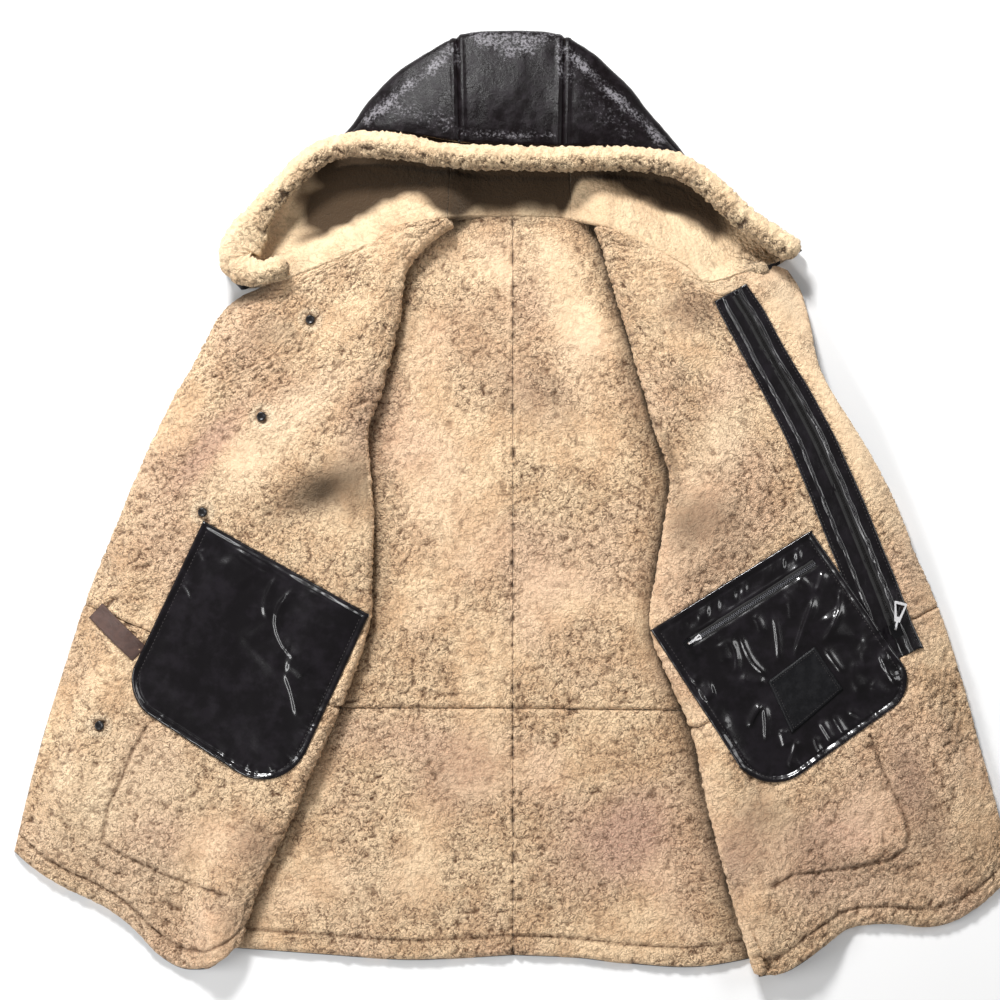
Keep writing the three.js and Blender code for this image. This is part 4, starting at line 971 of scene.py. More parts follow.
def stack_outline(side, rows):
    """Outline on one side of all that lies under a front: shoulder, sleeve, side seam and hem."""
    before, cuff = SLEEVE_ROWS[-2], SLEEVE_ROWS[-1]
    way = cuff[2:] - before[2:]
    way = way / math.hypot(*way) * CUFF_BRIDGE
    flip = np.array([side, 1])
    ends = np.array([cuff[:2] + way, cuff[2:] + way]) * flip
    below_cuff = rows[WAIST_ROW + 2 :, :2]
    return np.concatenate([SHOULDER * flip, SLEEVE_ROWS[:, :2] * flip, ends, below_cuff, [HEM_MIDDLE]])


def fold_turn(tip, out, level, radius):
    """Half a turn round a fold: a half circle in the upright plane of its outward way."""
    angle = np.pi * np.array([0.12, 0.3, 0.5, 0.7, 0.88])
    centre = tip - out * (radius + HALF)
    reach = centre[..., None, :] + out[..., None, :] * (radius * np.sin(angle))[:, None]
    rise = np.broadcast_to(level + radius * (1 - np.cos(angle)), reach.shape[:-1])
    return centre, np.concatenate([reach, rise[..., None]], -1)


def front_control(side, rows, neck, hem):
    """Middle points of a front: in over the back, round the roll, and out over the sleeve to the edge."""
    seam, tip, edge = rows[:, :2], rows[:, 2:4], rows[:, 4:6]
    out = np.tile([-side, 0.0], (len(rows), 1))
    centre, turn = fold_turn(tip, out, LOW_LEVEL, ROLL_RADIUS)
    shares = np.array([0, 0.35, 0.7, 1])[None, :, None]
    lower = seam[:, None] * (1 - shares) + centre[:, None] * shares
    lower = np.concatenate([lower, np.full(lower.shape[:2] + (1,), LOW_LEVEL)], -1)
    t = COLUMNS[None, :]
    x = centre[:, :1] * (1 - t) + edge[:, :1] * t
    y = centre[:, 1:] * (1 - t) + edge[:, 1:] * t
    bow = hem - (rows[-1, 3] * (1 - COLUMNS) + rows[-1, 5] * COLUMNS)
    for i, share in enumerate(NECK_BOW):
        y[i] += (neck - (rows[0, 3] * (1 - COLUMNS) + rows[0, 5] * COLUMNS)) * share
    y[-1] += bow
    y[-2] += bow * HEM_BOW
    outline = stack_outline(side, rows)
    away = distance_to(x, y, closed(outline))
    away = np.where(inside(x, y, outline), 0, away)
    fall = 1 - smooth((away - DROP_START) / DROP_LENGTH)
    length = np.abs(x - centre[:, :1])
    swell = ROLL_SWELL * smooth(length / 14) * (1 - smooth((length - 30) / 60))
    start = LOW_LEVEL + 2 * ROLL_RADIUS
    level = start + (HIGH_LEVEL - start) * smooth(length / 60) + swell
    upper = np.stack([x, y, HALF + (level - HALF) * fall], -1)
    return np.concatenate([lower, turn, upper], 1)


def soft_folds(grid, folds):
    """Raises a grid along listed folds: a bell across each, fading smoothly towards its ends."""
    for (ax, ay), (bx, by), wide, high in folds:
        line = np.array([(ax, ay), (bx, by)], float)
        d, where, run = line_distance(grid[..., 0], grid[..., 1], line)
        fade = smooth(where / (0.35 * run)) * smooth((run - where) / (0.35 * run))
        upper = smooth((grid[..., 2] - 12) / 8)
        grid[..., 2] += high * bell(d, wide) * fade * upper
    return grid


def press_under(x, y, outlines, depth):
    """How far the wool is pressed under what lies on it: all the way inside an outline, fading beside it."""
    press = np.zeros(x.shape)
    for outline in outlines:
        d = distance_to(x, y, closed(outline))
        d = np.where(inside(x, y, outline), -d, d)
        press = np.maximum(press, 1 - smooth((d + 5) / 9))
    return press * depth


def strip_outline():
    """The zip strip's outline: its middle line moved half its width each way."""
    left, right = band_sides(STRIP_ROWS[:, :2], STRIP_ROWS[:, 2])
    return np.concatenate([left, right[::-1]])


def band_sides(line, wide):
    """Both sides of a band: its middle line moved out along its level normal."""
    side = left_of(unit(np.gradient(line, axis=0)))
    return line - side * wide[:, None] / 2, line + side * wide[:, None] / 2


def make_fronts():
    """The four front panels, and a map of their tops for each side."""
    rims = {"left": [LEFT_POCKET], "right": [RIGHT_POCKET, strip_outline()]}
    stitches = {"left": LEFT_STITCH, "right": RIGHT_STITCH}
    tops = {}
    for name, (side, rows, neck, hem, _) in SIDES.items():
        control = front_control(side, rows, neck, hem)
        cells = np.full(control.shape[1] - 1, CELL)
        cells[:3] = HIDDEN_CELL
        grid, found, places = refine(control, CELL, cells)
        grid = soft_folds(grid, FRONT_FOLDS[name])
        x, y = grid[..., 0], grid[..., 1]
        upper = places > 7
        press = press_under(x, y, rims[name], 0.42) * upper
        d = distance_to(x, y, stitches[name])
        v = run_along(grid, 0)
        from_hem = v[-1] - v
        groove = bell(d, 1.9) + bell(from_hem - HEM_STITCH, 1.9)
        # Painted light: a pale ring round each button
        halo = np.zeros(x.shape)
        if name == "left":
            for bx, by in BUTTONS:
                away = np.hypot(x - bx, y - by)
                groove = np.maximum(groove, 0.8 * bell(away, 7.5, 4))
                halo = halo + 0.9 * bell(away - 10, 4)
        groove = np.clip(groove * upper, 0, 1)
        fade = np.where(places < 3, 0.15, 1.0) * np.ones(x.shape)
        waist = found[WAIST_ROW]
        looks = patch_fields(x, y, PATCHES[name]) * upper
        looks[0] += halo * upper
        turn = 1 if side < 0 else -1
        for level, span in (("upper", slice(0, waist + 1)), ("lower", slice(waist, None))):
            node = "front_" + level + "_" + name
            top = shearling(
                "wool_" + node, grid[span], [node], [WOOL_TAN, HIDE], turn, FRONT_EDGES[level],
                11 * side + 40, (0, v[span.start].mean()), press[span], groove[span], fade[span],
                looks=looks[:, span])
            tops.setdefault(name, []).append(top[:, upper])
    return {name: HeightMap(clouds) for name, clouds in tops.items()}


def make_back():
    """The four back panels: rows from the centre seam out to the side seam."""
    shares = SHOULDER[:, 0] / SHOULDER[-1, 0]
    for name, (side, rows, _, _, drop) in SIDES.items():
        body = rows[3:-1, :2]
        x = body[:, :1] * shares
        y = np.repeat(body[:, 1:], len(shares), 1)
        waist_drop = body[WAIST_ROW - 3, 1] - WAIST_MIDDLE
        y[WAIST_ROW - 3] = WAIST_MIDDLE + waist_drop * shares
        top_row = np.stack([side * SHOULDER[:, 0], SHOULDER[:, 1] - 0.6], -1)
        hem_row = np.stack([rows[-1, 0] * shares, drop], -1)
        plan = np.concatenate([top_row[None], np.stack([x, y], -1), hem_row[None]])
        control = np.concatenate([plan, np.full(plan.shape[:2] + (1,), HALF)], -1)
        control[:, 0, 0] = side * 0.15
        cells = [CELL, CELL, CELL, HIDDEN_CELL * 0.6]
        grid, found, _ = refine(control, CELL, cells)
        v = run_along(grid, 0)
        from_hem = v[-1] - v
        x, y = grid[..., 0], grid[..., 1]
        away = np.abs(x)
        beside_seam = 0.14 * bell(away - 9, 1.6)
        marks = smooth((waves(x * 0.4 + 300, y + FAR, 6.0, 17) - 0.5) / 0.14)
        groove = np.maximum(bell(from_hem - HEM_STITCH, 1.7), beside_seam)
        groove = np.maximum(groove, 0.9 * marks * bell(away, 2.4))
        swell = 0.8 * (waves(x + FAR, y + FAR, 55.0, 5 + side) - 0.5)
        looks = patch_fields(x, y, PATCHES["back"])
        # Painted shade: the back is darker beside each front's roll, and along its top in the middle, below
        # the hood's shaded inside
        looks[0] -= ROLL_SHADE[name] * np.exp(-distance_to(x, y, rows[:, 2:4]) / 9)
        looks[0] -= 0.4 * bell(v, 15) * smooth((100 - away) / 30)
        waist = found[WAIST_ROW - 2]
        for level, span in (("upper", slice(0, waist + 1)), ("lower", slice(waist, None))):
            node = "back_" + level + "_" + name
            shearling("wool_" + node, grid[span], [node], [WOOL_TAN, HIDE], -side, BACK_EDGES[level],
                      21 + side, (500, v[span.start].mean()), 0.12 * (0.5 - swell[span]).clip(0, 1),
                      groove[span], looks=looks[:, span])


def make_hood():
    """The hood's three panels: wool on the inside of the fold, skin on the outside."""
    neck_level = LOW_LEVEL + 2 * ROLL_RADIUS
    neck, fold, end = HOOD_ROWS[:, :2], HOOD_ROWS[:, 3:5], HOOD_ROWS[:, 5:7]
    way = fold - neck
    centre, turn = fold_turn(fold, unit(way), HALF, HOOD_ROLL_RADIUS)
    t = np.array([0, 0.18, 0.4, 0.7, 1])[None, :, None]
    plan = (neck + [0, -3.5])[:, None] * (1 - t) + centre[:, None] * t
    neck_z = HALF + (neck_level - HALF) * HOOD_ROWS[:, 2:3]
    z = neck_z + (HALF - neck_z) * smooth(t[..., 0] / NECK_FALL)
    lower = np.concatenate([plan, z[..., None]], -1)
    s = np.array([0.1, 0.3, 0.55, 0.8, 1])[None, :, None]
    plan = centre[:, None] * (1 - s) + end[:, None] * s
    z = HALF + 2 * HOOD_ROLL_RADIUS + FOREHEAD_RISE * HOOD_ROWS[:, 7:8] * np.sin(s[..., 0] * np.pi / 2)
    upper = np.concatenate([plan, z[..., None]], -1)
    control = np.concatenate([lower, turn, upper], 1)
    grid, found, places = refine(control, CELL, np.full(control.shape[1] - 1, CELL))
    normal = normals_of(grid)
    v = run_along(grid, 0)
    fade = (1 - smooth((places - 5) / 2)) * np.ones(grid.shape[:2])
    first, last = (found[i] for i in HOOD_SEAMS)
    x, y = grid[..., 0], grid[..., 1]
    from_neck = distance_to(x, y, neck)
    # Painted shade inside the hood under its upper layer, fading out over a lit band above the neck; the wool
    # by the left hook is painted lighter where the rolled edge shades it
    pale_band = -14 + 49 * smooth((x - 50) / 30) + 32 * smooth((-60 - x) / 50)
    ragged = 26 * (waves(x + FAR, y + FAR, 13.0, 95) - 0.5)
    shade = smooth((from_neck - pale_band + 0.3 * ragged) / (20 + 14 * smooth((60 - np.abs(x)) / 20)))
    shade = shade * (1 - smooth((np.abs(x - 5) - 212 + ragged) / 64))
    calm = 0.9 * (1 - smooth((np.abs(x - 5) - 225) / 40))
    by_hook = smooth((-226 - x) / 44)
    looks = np.stack([0.12 - 1.3 * shade + 0.4 * by_hook, np.maximum(calm, 0.9 * by_hook), 0.15 + 0 * shade])
    # Painted highlight on the skin: pale flecks along the crown and the listed bands, with a ragged border
    # and uneven strength
    wear_and_sheen = waves(x + FAR, y + FAR, 16.0, 93)
    border = CROWN_SHEEN[0] + CROWN_SHEEN[1] * x**2 + 5 * np.sin(x / 5) * wear_and_sheen
    painted_glint = 0.8 * smooth((y - border) / 20) * (np.abs(x) < 62) * smooth((521 - y) / 9)
    for band, band_wide, strength in SHEEN_BANDS:
        d = distance_to(x, y, np.array(band, float))
        painted_glint = np.maximum(painted_glint, strength * bell(d, band_wide))
    painted_glint = np.clip(painted_glint * (0.5 + 0.8 * wear_and_sheen), 0, 1) * smooth((places - 6) / 2)
    to_rim = distance_to(x, y, ROLL_ROWS[:, :2])
    # Painted shadow along the lower side of the rolled edge; it also sinks the wool there
    rim_shadow = 0.9 * bell(to_rim - 13, 3.2) * (places < 5) * (1 - smooth((np.abs(x) - 170) / 50))
    to_seam = np.minimum(np.abs(v - v[first]), np.abs(v - v[last]))
    skin_form = 1.3 * bell(to_seam - 5, 2.6) - 1.0 * bell(to_seam, 1.8)
    skin_form += 2.2 * (waves(x + FAR, y * 0.6 + FAR, 30.0, 91) - 0.5)
    skin_form += 0.8 * (waves(x + FAR, y + FAR, 9.0, 92) - 0.5)
    turn_way = 1 if normal[len(grid) // 2, 5, 2] > 0 else -1
    for name, span, rounds in (
        ("hood_left", slice(0, first + 1), (FREE, (3, 0.05), (3, 0.6), (3, 1))),
        ("hood_centre", slice(first, last + 1), ((3, 0.05), (3, 0.05), (3, 0.6), (3, 1))),
        ("hood_right", slice(last, None), ((3, 0.05), FREE, (3, 0.6), (3, 1))),
    ):
        shearling("wool_" + name, grid[span], [name], [WOOL_PALE, HIDE], turn_way, rounds, 61,
                  (1200, v[span.start].mean()), None, rim_shadow[span], fade[span] * 0.8, "skin", 0.1,
                  looks[:, span], skin_form[span], 1,
                  painted_glint[span])


def make_rolled_edge():
    """The rolled edge: an oval section carried along its line, with curls and blunt ends."""
    line = spline(ROLL_ROWS, even_places(steps_of(ROLL_ROWS), 1.9))
    side = unit(np.pad(left_of(np.gradient(line, axis=0)), ((0, 0), (0, 1))))
    run = run_of(line)
    ends = round_edge(np.minimum(run, run[-1] - run), 13.0)[:, None]
    angle = 2 * np.pi * np.arange(ROLL_COLUMNS)[None, :] / ROLL_COLUMNS
    around = angle * ROLL_WIDE / 2
    height, crevice = pile(around * 0.85, run[:, None] * 0.85 + 0 * around, 83)
    sway = 1 + 0.10 * (waves(run[:, None], 0 * run[:, None], 37.0, 9) - 0.5)
    hook = 1.5 * bell(run[:, None] - HOOK_RUN, 44, 4) * smooth(-np.cos(angle) * 1.3)
    radius_side = (ROLL_WIDE / 2 * sway * (1 + hook) + height * 1.1) * ends
    radius_up = (ROLL_HIGH / 2 * sway + height * 1.1) * ends
    points = line[:, None] + side[:, None] * (np.cos(angle) * radius_side)[..., None]
    points[..., 2] += np.sin(angle) * radius_up
    faces = grid_faces(len(line), ROLL_COLUMNS, closed=True)
    # Painted light: the side of the roll facing +Y, towards the key light, is lighter with calmer curls, the
    # side facing -Y darker, and the hook's lobe is painted lighter; its crevices are darkened as painted
    # shade
    facing = side[:, None, 1] * np.cos(angle)
    calm = 0.9 * smooth((facing + 0.3) / 0.55)
    lobe = bell(run[:, None] - HOOK_RUN, 42) * smooth(np.sin(angle) + 0.6)
    calm = np.maximum(calm, 0.75 * lobe)
    dark = np.clip(smooth((crevice - 0.22) / 0.4) * 1.15 * (1 - 0.95 * calm), 0, 1)
    values = {"crevice": dark, "painted_shading": 0.4 * facing + 0.05 + 0.3 * lobe, "calm": calm, "blush": 0 * calm}
    piece = mesh_piece("wool_hood_rim", points, outward(points, faces), [WOOL_PALE], None, values)
    attach(piece, "wool", "hood_rim")


def make_sleeves():
    """The sleeves, pressed flat: oval rings from armhole to cuff, skin outside and wool inside."""
    for name, (side, *_) in SIDES.items():
        rows = spline(SLEEVE_ROWS, even_places(steps_of(SLEEVE_ROWS[:, :2]), HIDDEN_CELL))
        start = rows[:, :2] * [side, 1]
        end = rows[:, 2:] * [side, 1]
        way = end - start
        length = np.linalg.norm(way, axis=1, keepdims=True)
        way = way / length
        radius = SLEEVE_HIGH / 2
        layers = []
        for inset in (0.0, SHEARLING):
            round_size = radius - inset
            flat = np.linspace(0, 1, SLEEVE_COLUMNS)
            bend = np.pi * np.linspace(0.14, 0.86, 6)
            reach = [radius + flat * (length - 2 * radius), length - radius + round_size * np.sin(bend),
                     length - radius - flat * (length - 2 * radius), radius - round_size * np.sin(bend)]
            lift = [0 * flat + radius + round_size, radius + round_size * np.cos(bend),
                    0 * flat + radius - round_size, radius - round_size * np.cos(bend)]
            reach = np.concatenate([np.broadcast_to(r, (len(rows), r.shape[-1])) for r in reach], 1)
            z = np.broadcast_to(np.concatenate(lift), reach.shape)
            plan = start[:, None] + way[:, None] * reach[..., None]
            layers.append(np.concatenate([plan, z[..., None]], -1))
        outer, inner = layers
        count = outer.shape[1]
        rings = len(rows)
        total = rings * count
        ring = np.arange(count)
        after = (ring + 1) % count
        tail = (rings - 1) * count
        faces = np.concatenate([
            grid_faces(rings, count, 0, True),
            grid_faces(rings, count, total, True)[:, ::-1],
            np.stack([after, ring, ring + total, after + total], -1),
            np.stack([ring + tail, after + tail, after + tail + total, ring + tail + total], -1),
        ])
        kinds = np.repeat([0, 1, 1, 1], [(rings - 1) * count, (rings - 1) * count, count, count])
        points = np.concatenate([outer.reshape(-1, 3), inner.reshape(-1, 3)])
        values = {"crevice": np.zeros(len(points))}
        node = "sleeve_" + name
        piece = mesh_piece("skin_" + node, points, outward(points, faces), [HIDE, WOOL_TAN], kinds, values)
        attach(piece, "skin", node)


def leather_piece(name, node, plan, z, thick, material, slot, values=None):
    """A thin piece: its upper skin at the heights given, the lower one its thickness below."""
    top = np.concatenate([plan, z[..., None]], -1)
    under = top - [0, 0, thick]
    points, faces, _, round_skins = wall(top, under, 3)
    piece = mesh_piece(name, points, outward(points, faces), [material], None, values, round_skins)
    return attach(piece, slot, node), top


def in_corners(corners, u, v):
    """Places inside four corners: a blend along the first edge by u and away from it by v."""
    a, b, c, d = corners
    near = a + (b - a) * u[..., None]
    far = d + (c - d) * u[..., None]
    return near + (far - near) * v[..., None]


def ridge(x, y, curve, wide, high):
    """A fold in leather: steep to the right of a curve through three places, gentle to its left.

    Each side is a bell, twice as wide on the gentle one, and both ends taper.
    """
    a, b, c = (np.array(p, float) for p in curve)
    t = np.linspace(0, 1, 9)[:, None]
    line = a * (1 - t) * (1 - 2 * t) + 4 * b * t * (1 - t) + c * t * (2 * t - 1)
    d, where, run = line_distance(x, y, line)
    turned = (c[0] - a[0]) * (y - b[1]) - (c[1] - a[1]) * (x - b[0])
    bow = (c[0] - a[0]) * (line[:, 1] - b[1]) - (c[1] - a[1]) * (line[:, 0] - b[0])
    gentle = turned > np.interp(where / run, t[:, 0], bow)
    fade = smooth(where / (0.25 * run)) * smooth((run - where) / (0.25 * run))
    return high * bell(d, np.where(gentle, 2.2 * wide, wide)) * fade


def pocket_grid(corners, rounds, cell):
    """Places over a pouch whose two lower corners are rounded by drawing in the ends of its rows."""
    wide = math.dist(corners[0], corners[1])
    deep = math.dist(corners[0], corners[3])
    start = 1 - max(rounds) / deep
    straight = np.linspace(0, start, int(deep * start / cell))[:-1]
    turned = start + (1 - start) * np.sin(np.linspace(0, np.pi / 2, int(max(rounds) * 1.5 / cell)))
    v = np.concatenate([straight, turned])
    left, right = (r / wide * (1 - round_edge((1 - v) * deep, r)) for r in rounds)
    share = np.linspace(0, 1, int(wide / cell))
    u = left[:, None] + (1 - left - right)[:, None] * share
    return in_corners(corners, u, np.repeat(v[:, None], len(share), 1)), u, v[:, None] + 0 * u


def along_line(line, at, values=None):
    """Places at given lengths along a line, or values given for its places."""
    columns = (line if values is None else values).T
    return np.stack([np.interp(at, run_of(line), column) for column in columns], -1)


def stitch_piece(name, slot, lines, spacing=4.2, long=3.0, radius=0.42):
    """Stitches along lines: a six-point spindle for each, turned to the line's way."""
    points = []
    for line in lines:
        at = np.arange(spacing / 2, run_of(line)[-1], spacing)
        centre = along_line(line, at)
        way = unit(along_line(line, at + 1) - centre)
        side = np.cross(way, [0, 0, 1.0])
        up = np.cross(side, way)
        shape = [way * long / 2, side * radius, up * radius, -side * radius, -up * radius, -way * long / 2]
        points.append(np.stack([centre + s for s in shape], 1).reshape(-1, 3))
    points = np.concatenate(points)
    one = np.array([(0, 1, 2), (0, 2, 3), (0, 3, 4), (0, 4, 1), (5, 2, 1), (5, 3, 2), (5, 4, 3), (5, 1, 4)])
    faces = (np.arange(len(points) // 6)[:, None, None] * 6 + one).reshape(-1, 3)
    attach(mesh_piece(name, points, outward(points, faces), [THREAD]), slot)


def edge_line(top, inset=6, rise=0.25):
    """The line round three sides of a grid, a few places in, raised a little: left, bottom, right."""
    left = top[inset:-inset, inset]
    bottom = top[-inset - 1, inset:-inset]
    right = top[inset:-inset, -inset - 1][::-1]
    return np.concatenate([left, bottom, right]) + [0, 0, rise]


def even_out(heights, times):
    """Makes each height inside a grid the mean of its four neighbours, a number of times, in place."""
    for _ in range(times):
        beside = heights[2:, 1:-1] + heights[:-2, 1:-1] + heights[1:-1, 2:] + heights[1:-1, :-2]
        heights[1:-1, 1:-1] = beside / 4


def pouch(name, corners, rounds, tops, folds, fold_gain, edge_looks, crumple_high, seed, extra=None):
    """A leather pouch: it follows the wool, swells in the middle, and has a turned edge and folds.

    edge_looks gives, for each place, how far the edge gathers into puckers and how high it rolls.
    """
    plan, u, v = pocket_grid(corners, rounds, 1.3)
    x, y = plan[..., 0], plan[..., 1]
    outline = np.concatenate([plan[0], plan[1:, -1], plan[-1, -2::-1], plan[-2:0:-1, 0]])
    d, where, _ = line_distance(x, y, np.concatenate([outline[::4], outline[:1]]))
    base = tops.at(x, y)
    even_out(base, 5)
    swell = 2.6 * smooth((d - 6) / 50)
    gather, roll = edge_looks(u, v)
    piping = roll * bell(d - 3.0, 2.0) - 0.6 * bell(d - 7.2, 1.3)
    pucker = gather * (waves(where, d * 0.3, 4.6, seed) - 0.5) * bell(d - 8, 6)
    crumple = crumple_high * (waves(x + 700, y + 700, 38.0, seed + 1) - 0.5)
    crumple += 0.45 * crumple_high * (waves(x + 700, y + 700, 14.0, seed + 2) - 0.5)
    z = base + LEATHER_LIFT + 1.0 + swell + piping + 2.4 * pucker + crumple * smooth((d - 5) / 22)
    for curve, wide, high in folds:
        z = z + ridge(x, y, curve, wide, high * fold_gain) * smooth((d - 3) / 7)
    if extra is not None:
        z = z + extra(x, y, u, v)
    z = z - 1.3 * (1 - round_edge(d, 1.6))
    piece, top = leather_piece(name, name.replace("leather_", ""), plan, z, POUCH_THICK, POUCH, "pouch")
    return top


def make_left_pocket(tops):
    """The plain pouch: a few sharp creases near its inner side and a gathered lower corner."""
    def gathered(u, v):
        """Puckers round the inner lower corner and up the inner edge; the lower edge rolls highest."""
        gather = 0.12 + 0.9 * smooth((u + 0.5 * v - 0.95) / 0.3) + 0.25 * smooth((v - 0.8) / 0.2)
        return gather, 0.75 + 1.0 * smooth((v - 0.86) / 0.08) * smooth((1.0 - u) / 0.3)

    top = pouch("leather_pocket_left", LEFT_POCKET, LEFT_ROUNDS, tops["left"], LEFT_FOLDS, 1.0, gathered, 0.9,
                31)
    stitch_piece("stitches_pocket_left", "pouch", [edge_line(top)])


def make_strip(tops):
    """The strip that carries the zip: flat, with a sewn ridge near each side and a groove for the chain."""
    line = spline(STRIP_ROWS, even_places(steps_of(STRIP_ROWS[:, :2]), 1.7))
    left, right = band_sides(line[:, :2], line[:, 2])
    share = np.linspace(0, 1, 62)
    if right[0, 0] > left[0, 0]:
        left, right = right, left
    plan = right[:, None] * (1 - share[None, :, None]) + left[:, None] * share[None, :, None]
    run = run_of(line[:, :2])[:, None]
    wide = line[:, 2:3]
    across = share[None] * wide
    end_way = unit(line[-1, :2] - line[-3, :2])
    ragged = 2.4 * (waves(across[-1] + 40, 0 * across[-1], 9.0, 71) - 0.5)
    plan = plan + end_way * (ragged * bell(run - run[-1], 9))[..., None]
    x, y = plan[..., 0], plan[..., 1]
    edge = np.minimum(across, wide - across)
    d = np.minimum(edge, np.minimum(run, run[-1] - run))
    base = tops["right"].at(x, y)
    stiff = 0.75 * smooth((run - run[-1] + 95) / 70)
    flat = 0.5 * (base.max(axis=1, keepdims=True) + base.mean(axis=1, keepdims=True))
    base = base - stiff * (base - flat)
    sway = 1.6 * (waves(run, 0 * run, 26.0, 72) - 0.5) + 0.8 * (waves(run, 0 * run, 8.0, 73) - 0.5)
    form = 1.2 * np.sin(np.pi * np.clip((edge - 1) / 24, 0, 1))
    for middle, high, thick in zip(STRIP_SEAMS, (1.8, 0.8, 1.8), (1.25, 1.0, 1.25)):
        broken = 0.45 + 0.75 * waves(run + 300 * middle, 0 * run, 7.0, 74)
        form = form + high * broken * bell(across - middle * wide - sway, thick)
    form = form - 0.9 * bell(across - CHAIN_ACROSS * wide, 4.2, 4)
    wrinkle = 0.55 * (waves(run + 0.3 * across, across * 0.4, 9.0, 77) - 0.5)
    wrinkle += 0.35 * (waves(run + 0.6 * across, across, 4.0, 79) - 0.5)
    z = base + LEATHER_LIFT + 1.2 + form + wrinkle * smooth(d / 4) - 1.3 * (1 - round_edge(d, 1.8))
    piece, top = leather_piece("leather_zip_strip", "zip_strip", plan, z, STRIP_THICK, POUCH, "pouch")
    stitch_piece("stitches_strip", "pouch", [top[3:-3, column] + [0, 0, 0.3] for column in (4, -5)])
    return top


def zip_chain(name, node, line, z, tape_columns, pitch, tooth, metal):
    """A zip: a tape along a line, and two rows of teeth that mesh, a small block for each tooth."""
    way = unit(np.gradient(line, axis=0))
    across = np.linspace(-0.5, 0.5, tape_columns) * TAPE_WIDE
    plan = line[:, None] + left_of(way)[:, None] * across[None, :, None]
    bead = 0.5 * bell(np.abs(across) - 3.2, 0.8)
    tape, _ = leather_piece(name + "_tape", node, plan, z[:, None] + bead, TAPE_THICK, TAPE, "black")
    long, deep, high = tooth
    block = np.array([(a, b, c) for a in (-0.5, 0.5) for b in (-0.5, 0.5) for c in (0, 1)])
    cube = np.array([(0, 1, 3, 2), (4, 6, 7, 5), (0, 4, 5, 1), (2, 3, 7, 6), (0, 2, 6, 4), (1, 5, 7, 3)])
    points = []
    for half, start in ((-1, 0.3), (1, 0.3 + pitch / 2)):
        at = np.arange(start, run_of(line)[-1], pitch)
        ahead = along_line(line, at, way)
        height = along_line(line, at, z[:, None])
        plan = (along_line(line, at)[:, None] + ahead[:, None] * (block[:, :1] * long)
                + left_of(ahead)[:, None] * (block[:, 1:2] * deep + half * 0.9))
        lean = 1 - 0.25 * (block[:, 1] * half > 0) - 0.45 * (block[:, 0] > 0)
        up = height + block[:, 2] * high * lean
        points.append(np.concatenate([plan, up[..., None]], -1).reshape(-1, 3))
    points = np.concatenate(points)
    faces = (np.arange(len(points) // 8)[:, None, None] * 8 + cube).reshape(-1, 4)
    attach(mesh_piece(name + "_teeth", points, outward(points, faces), [metal], shade_smooth=False), "black")


def make_front_zip(strip_top):
    """The zip on the strip, along the channel."""
    column = int(CHAIN_ACROSS * (strip_top.shape[1] - 1))
    line = strip_top[4:-16, column]
    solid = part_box("zip_chain")[1].z * 1000
    z = np.clip(line[:, 2] + 0.5, 0, solid + 4)
    zip_chain("zip", "zip_chain", line[:, :2], z, 9, 2.6, (1.3, 2.4, 1.3), BLACK)


def make_right_pocket(tops, strip_top):
    """The pouch with a zip and a bare patch: folds fan out from the patch."""
    heights = HeightMap(tops["right"].clouds + [strip_top])
    wide = math.dist(RIGHT_POCKET[0], RIGHT_POCKET[1])
    deep = math.dist(RIGHT_POCKET[0], RIGHT_POCKET[3])
    low, high = POCKET_ZIP_SPAN

    def zip_form(x, y, u, v):
        """Two lips beside the zip, short puckers across the bands beside it, and two crushed places."""
        away = (v - POCKET_ZIP_DEPTH) * deep
        between = smooth((u - low + 0.03) / 0.03) * smooth((high + 0.03 - u) / 0.03)
        uneven = 0.15 + 0.8 * waves(u * wide + 30, np.sign(away) * 40 + 200, 9.0, 57)
        uneven = uneven * np.where(away > 0, 0.35, 1.0)
        lips = uneven * bell(np.abs(away) - 7.0, 2.0) - 0.95 * bell(away, 4.5, 4)
        band = bell(away + 19, 7) * smooth((u - 0.05) / 0.1) * smooth((0.97 - u) / 0.08)
        hem = 4.6 * (waves(u * wide + 0.5 * away + 200, away * 0.35 + 90, 7.0, 58) - 0.5) * band
        below = bell(away - 13, 5) * smooth((u - 0.1) / 0.1) * smooth((0.9 - u) / 0.1)
        gathers = 2.0 * (waves(u * wide + 400, away * 0.2 + 90, 6.5, 59) - 0.5) * below
        mottled = np.exp(-(((x - 398) / 24) ** 2 + ((y + 180) / 38) ** 2) ** 2)
        mottled += np.exp(-(((x - 209) / 14) ** 2 + ((y + 214) / 16) ** 2) ** 2)
        crush = 3.6 * mottled * (waves(x + 500, y * 0.7 + 900, 13.0, 60) - 0.5)
        return lips * between + hem + gathers + crush

    def gathered(u, v):
        """Puckers all round, most at the lower edge and the outer side."""
        gather = 0.35 + 0.4 * smooth((v - 0.75) / 0.2) + 0.3 * smooth((u - 0.8) / 0.2)
        return gather, 0.4 + 0.9 * smooth((v - 0.86) / 0.08) * (1 - smooth((u - 0.2) / 0.3))

    top = pouch("leather_pocket_right", RIGHT_POCKET, RIGHT_ROUNDS, heights, RIGHT_FOLDS, 1.35, gathered, 3.0,
                53, zip_form)
    stitch_piece("stitches_pocket_right", "pouch", [edge_line(top)])
    surface = HeightMap([top], cell=2.0, passes=1)
    u = np.linspace(low, high, 120)
    line = in_corners(RIGHT_POCKET, u, np.full(u.shape, POCKET_ZIP_DEPTH))
    z = surface.at(line[:, 0], line[:, 1]) + 0.5
    zip_chain("pocket_zip", "pocket_zip_chain", line, z, 7, 2.2, (1.1, 2.6, 1.4), DARK_STEEL)
    return surface


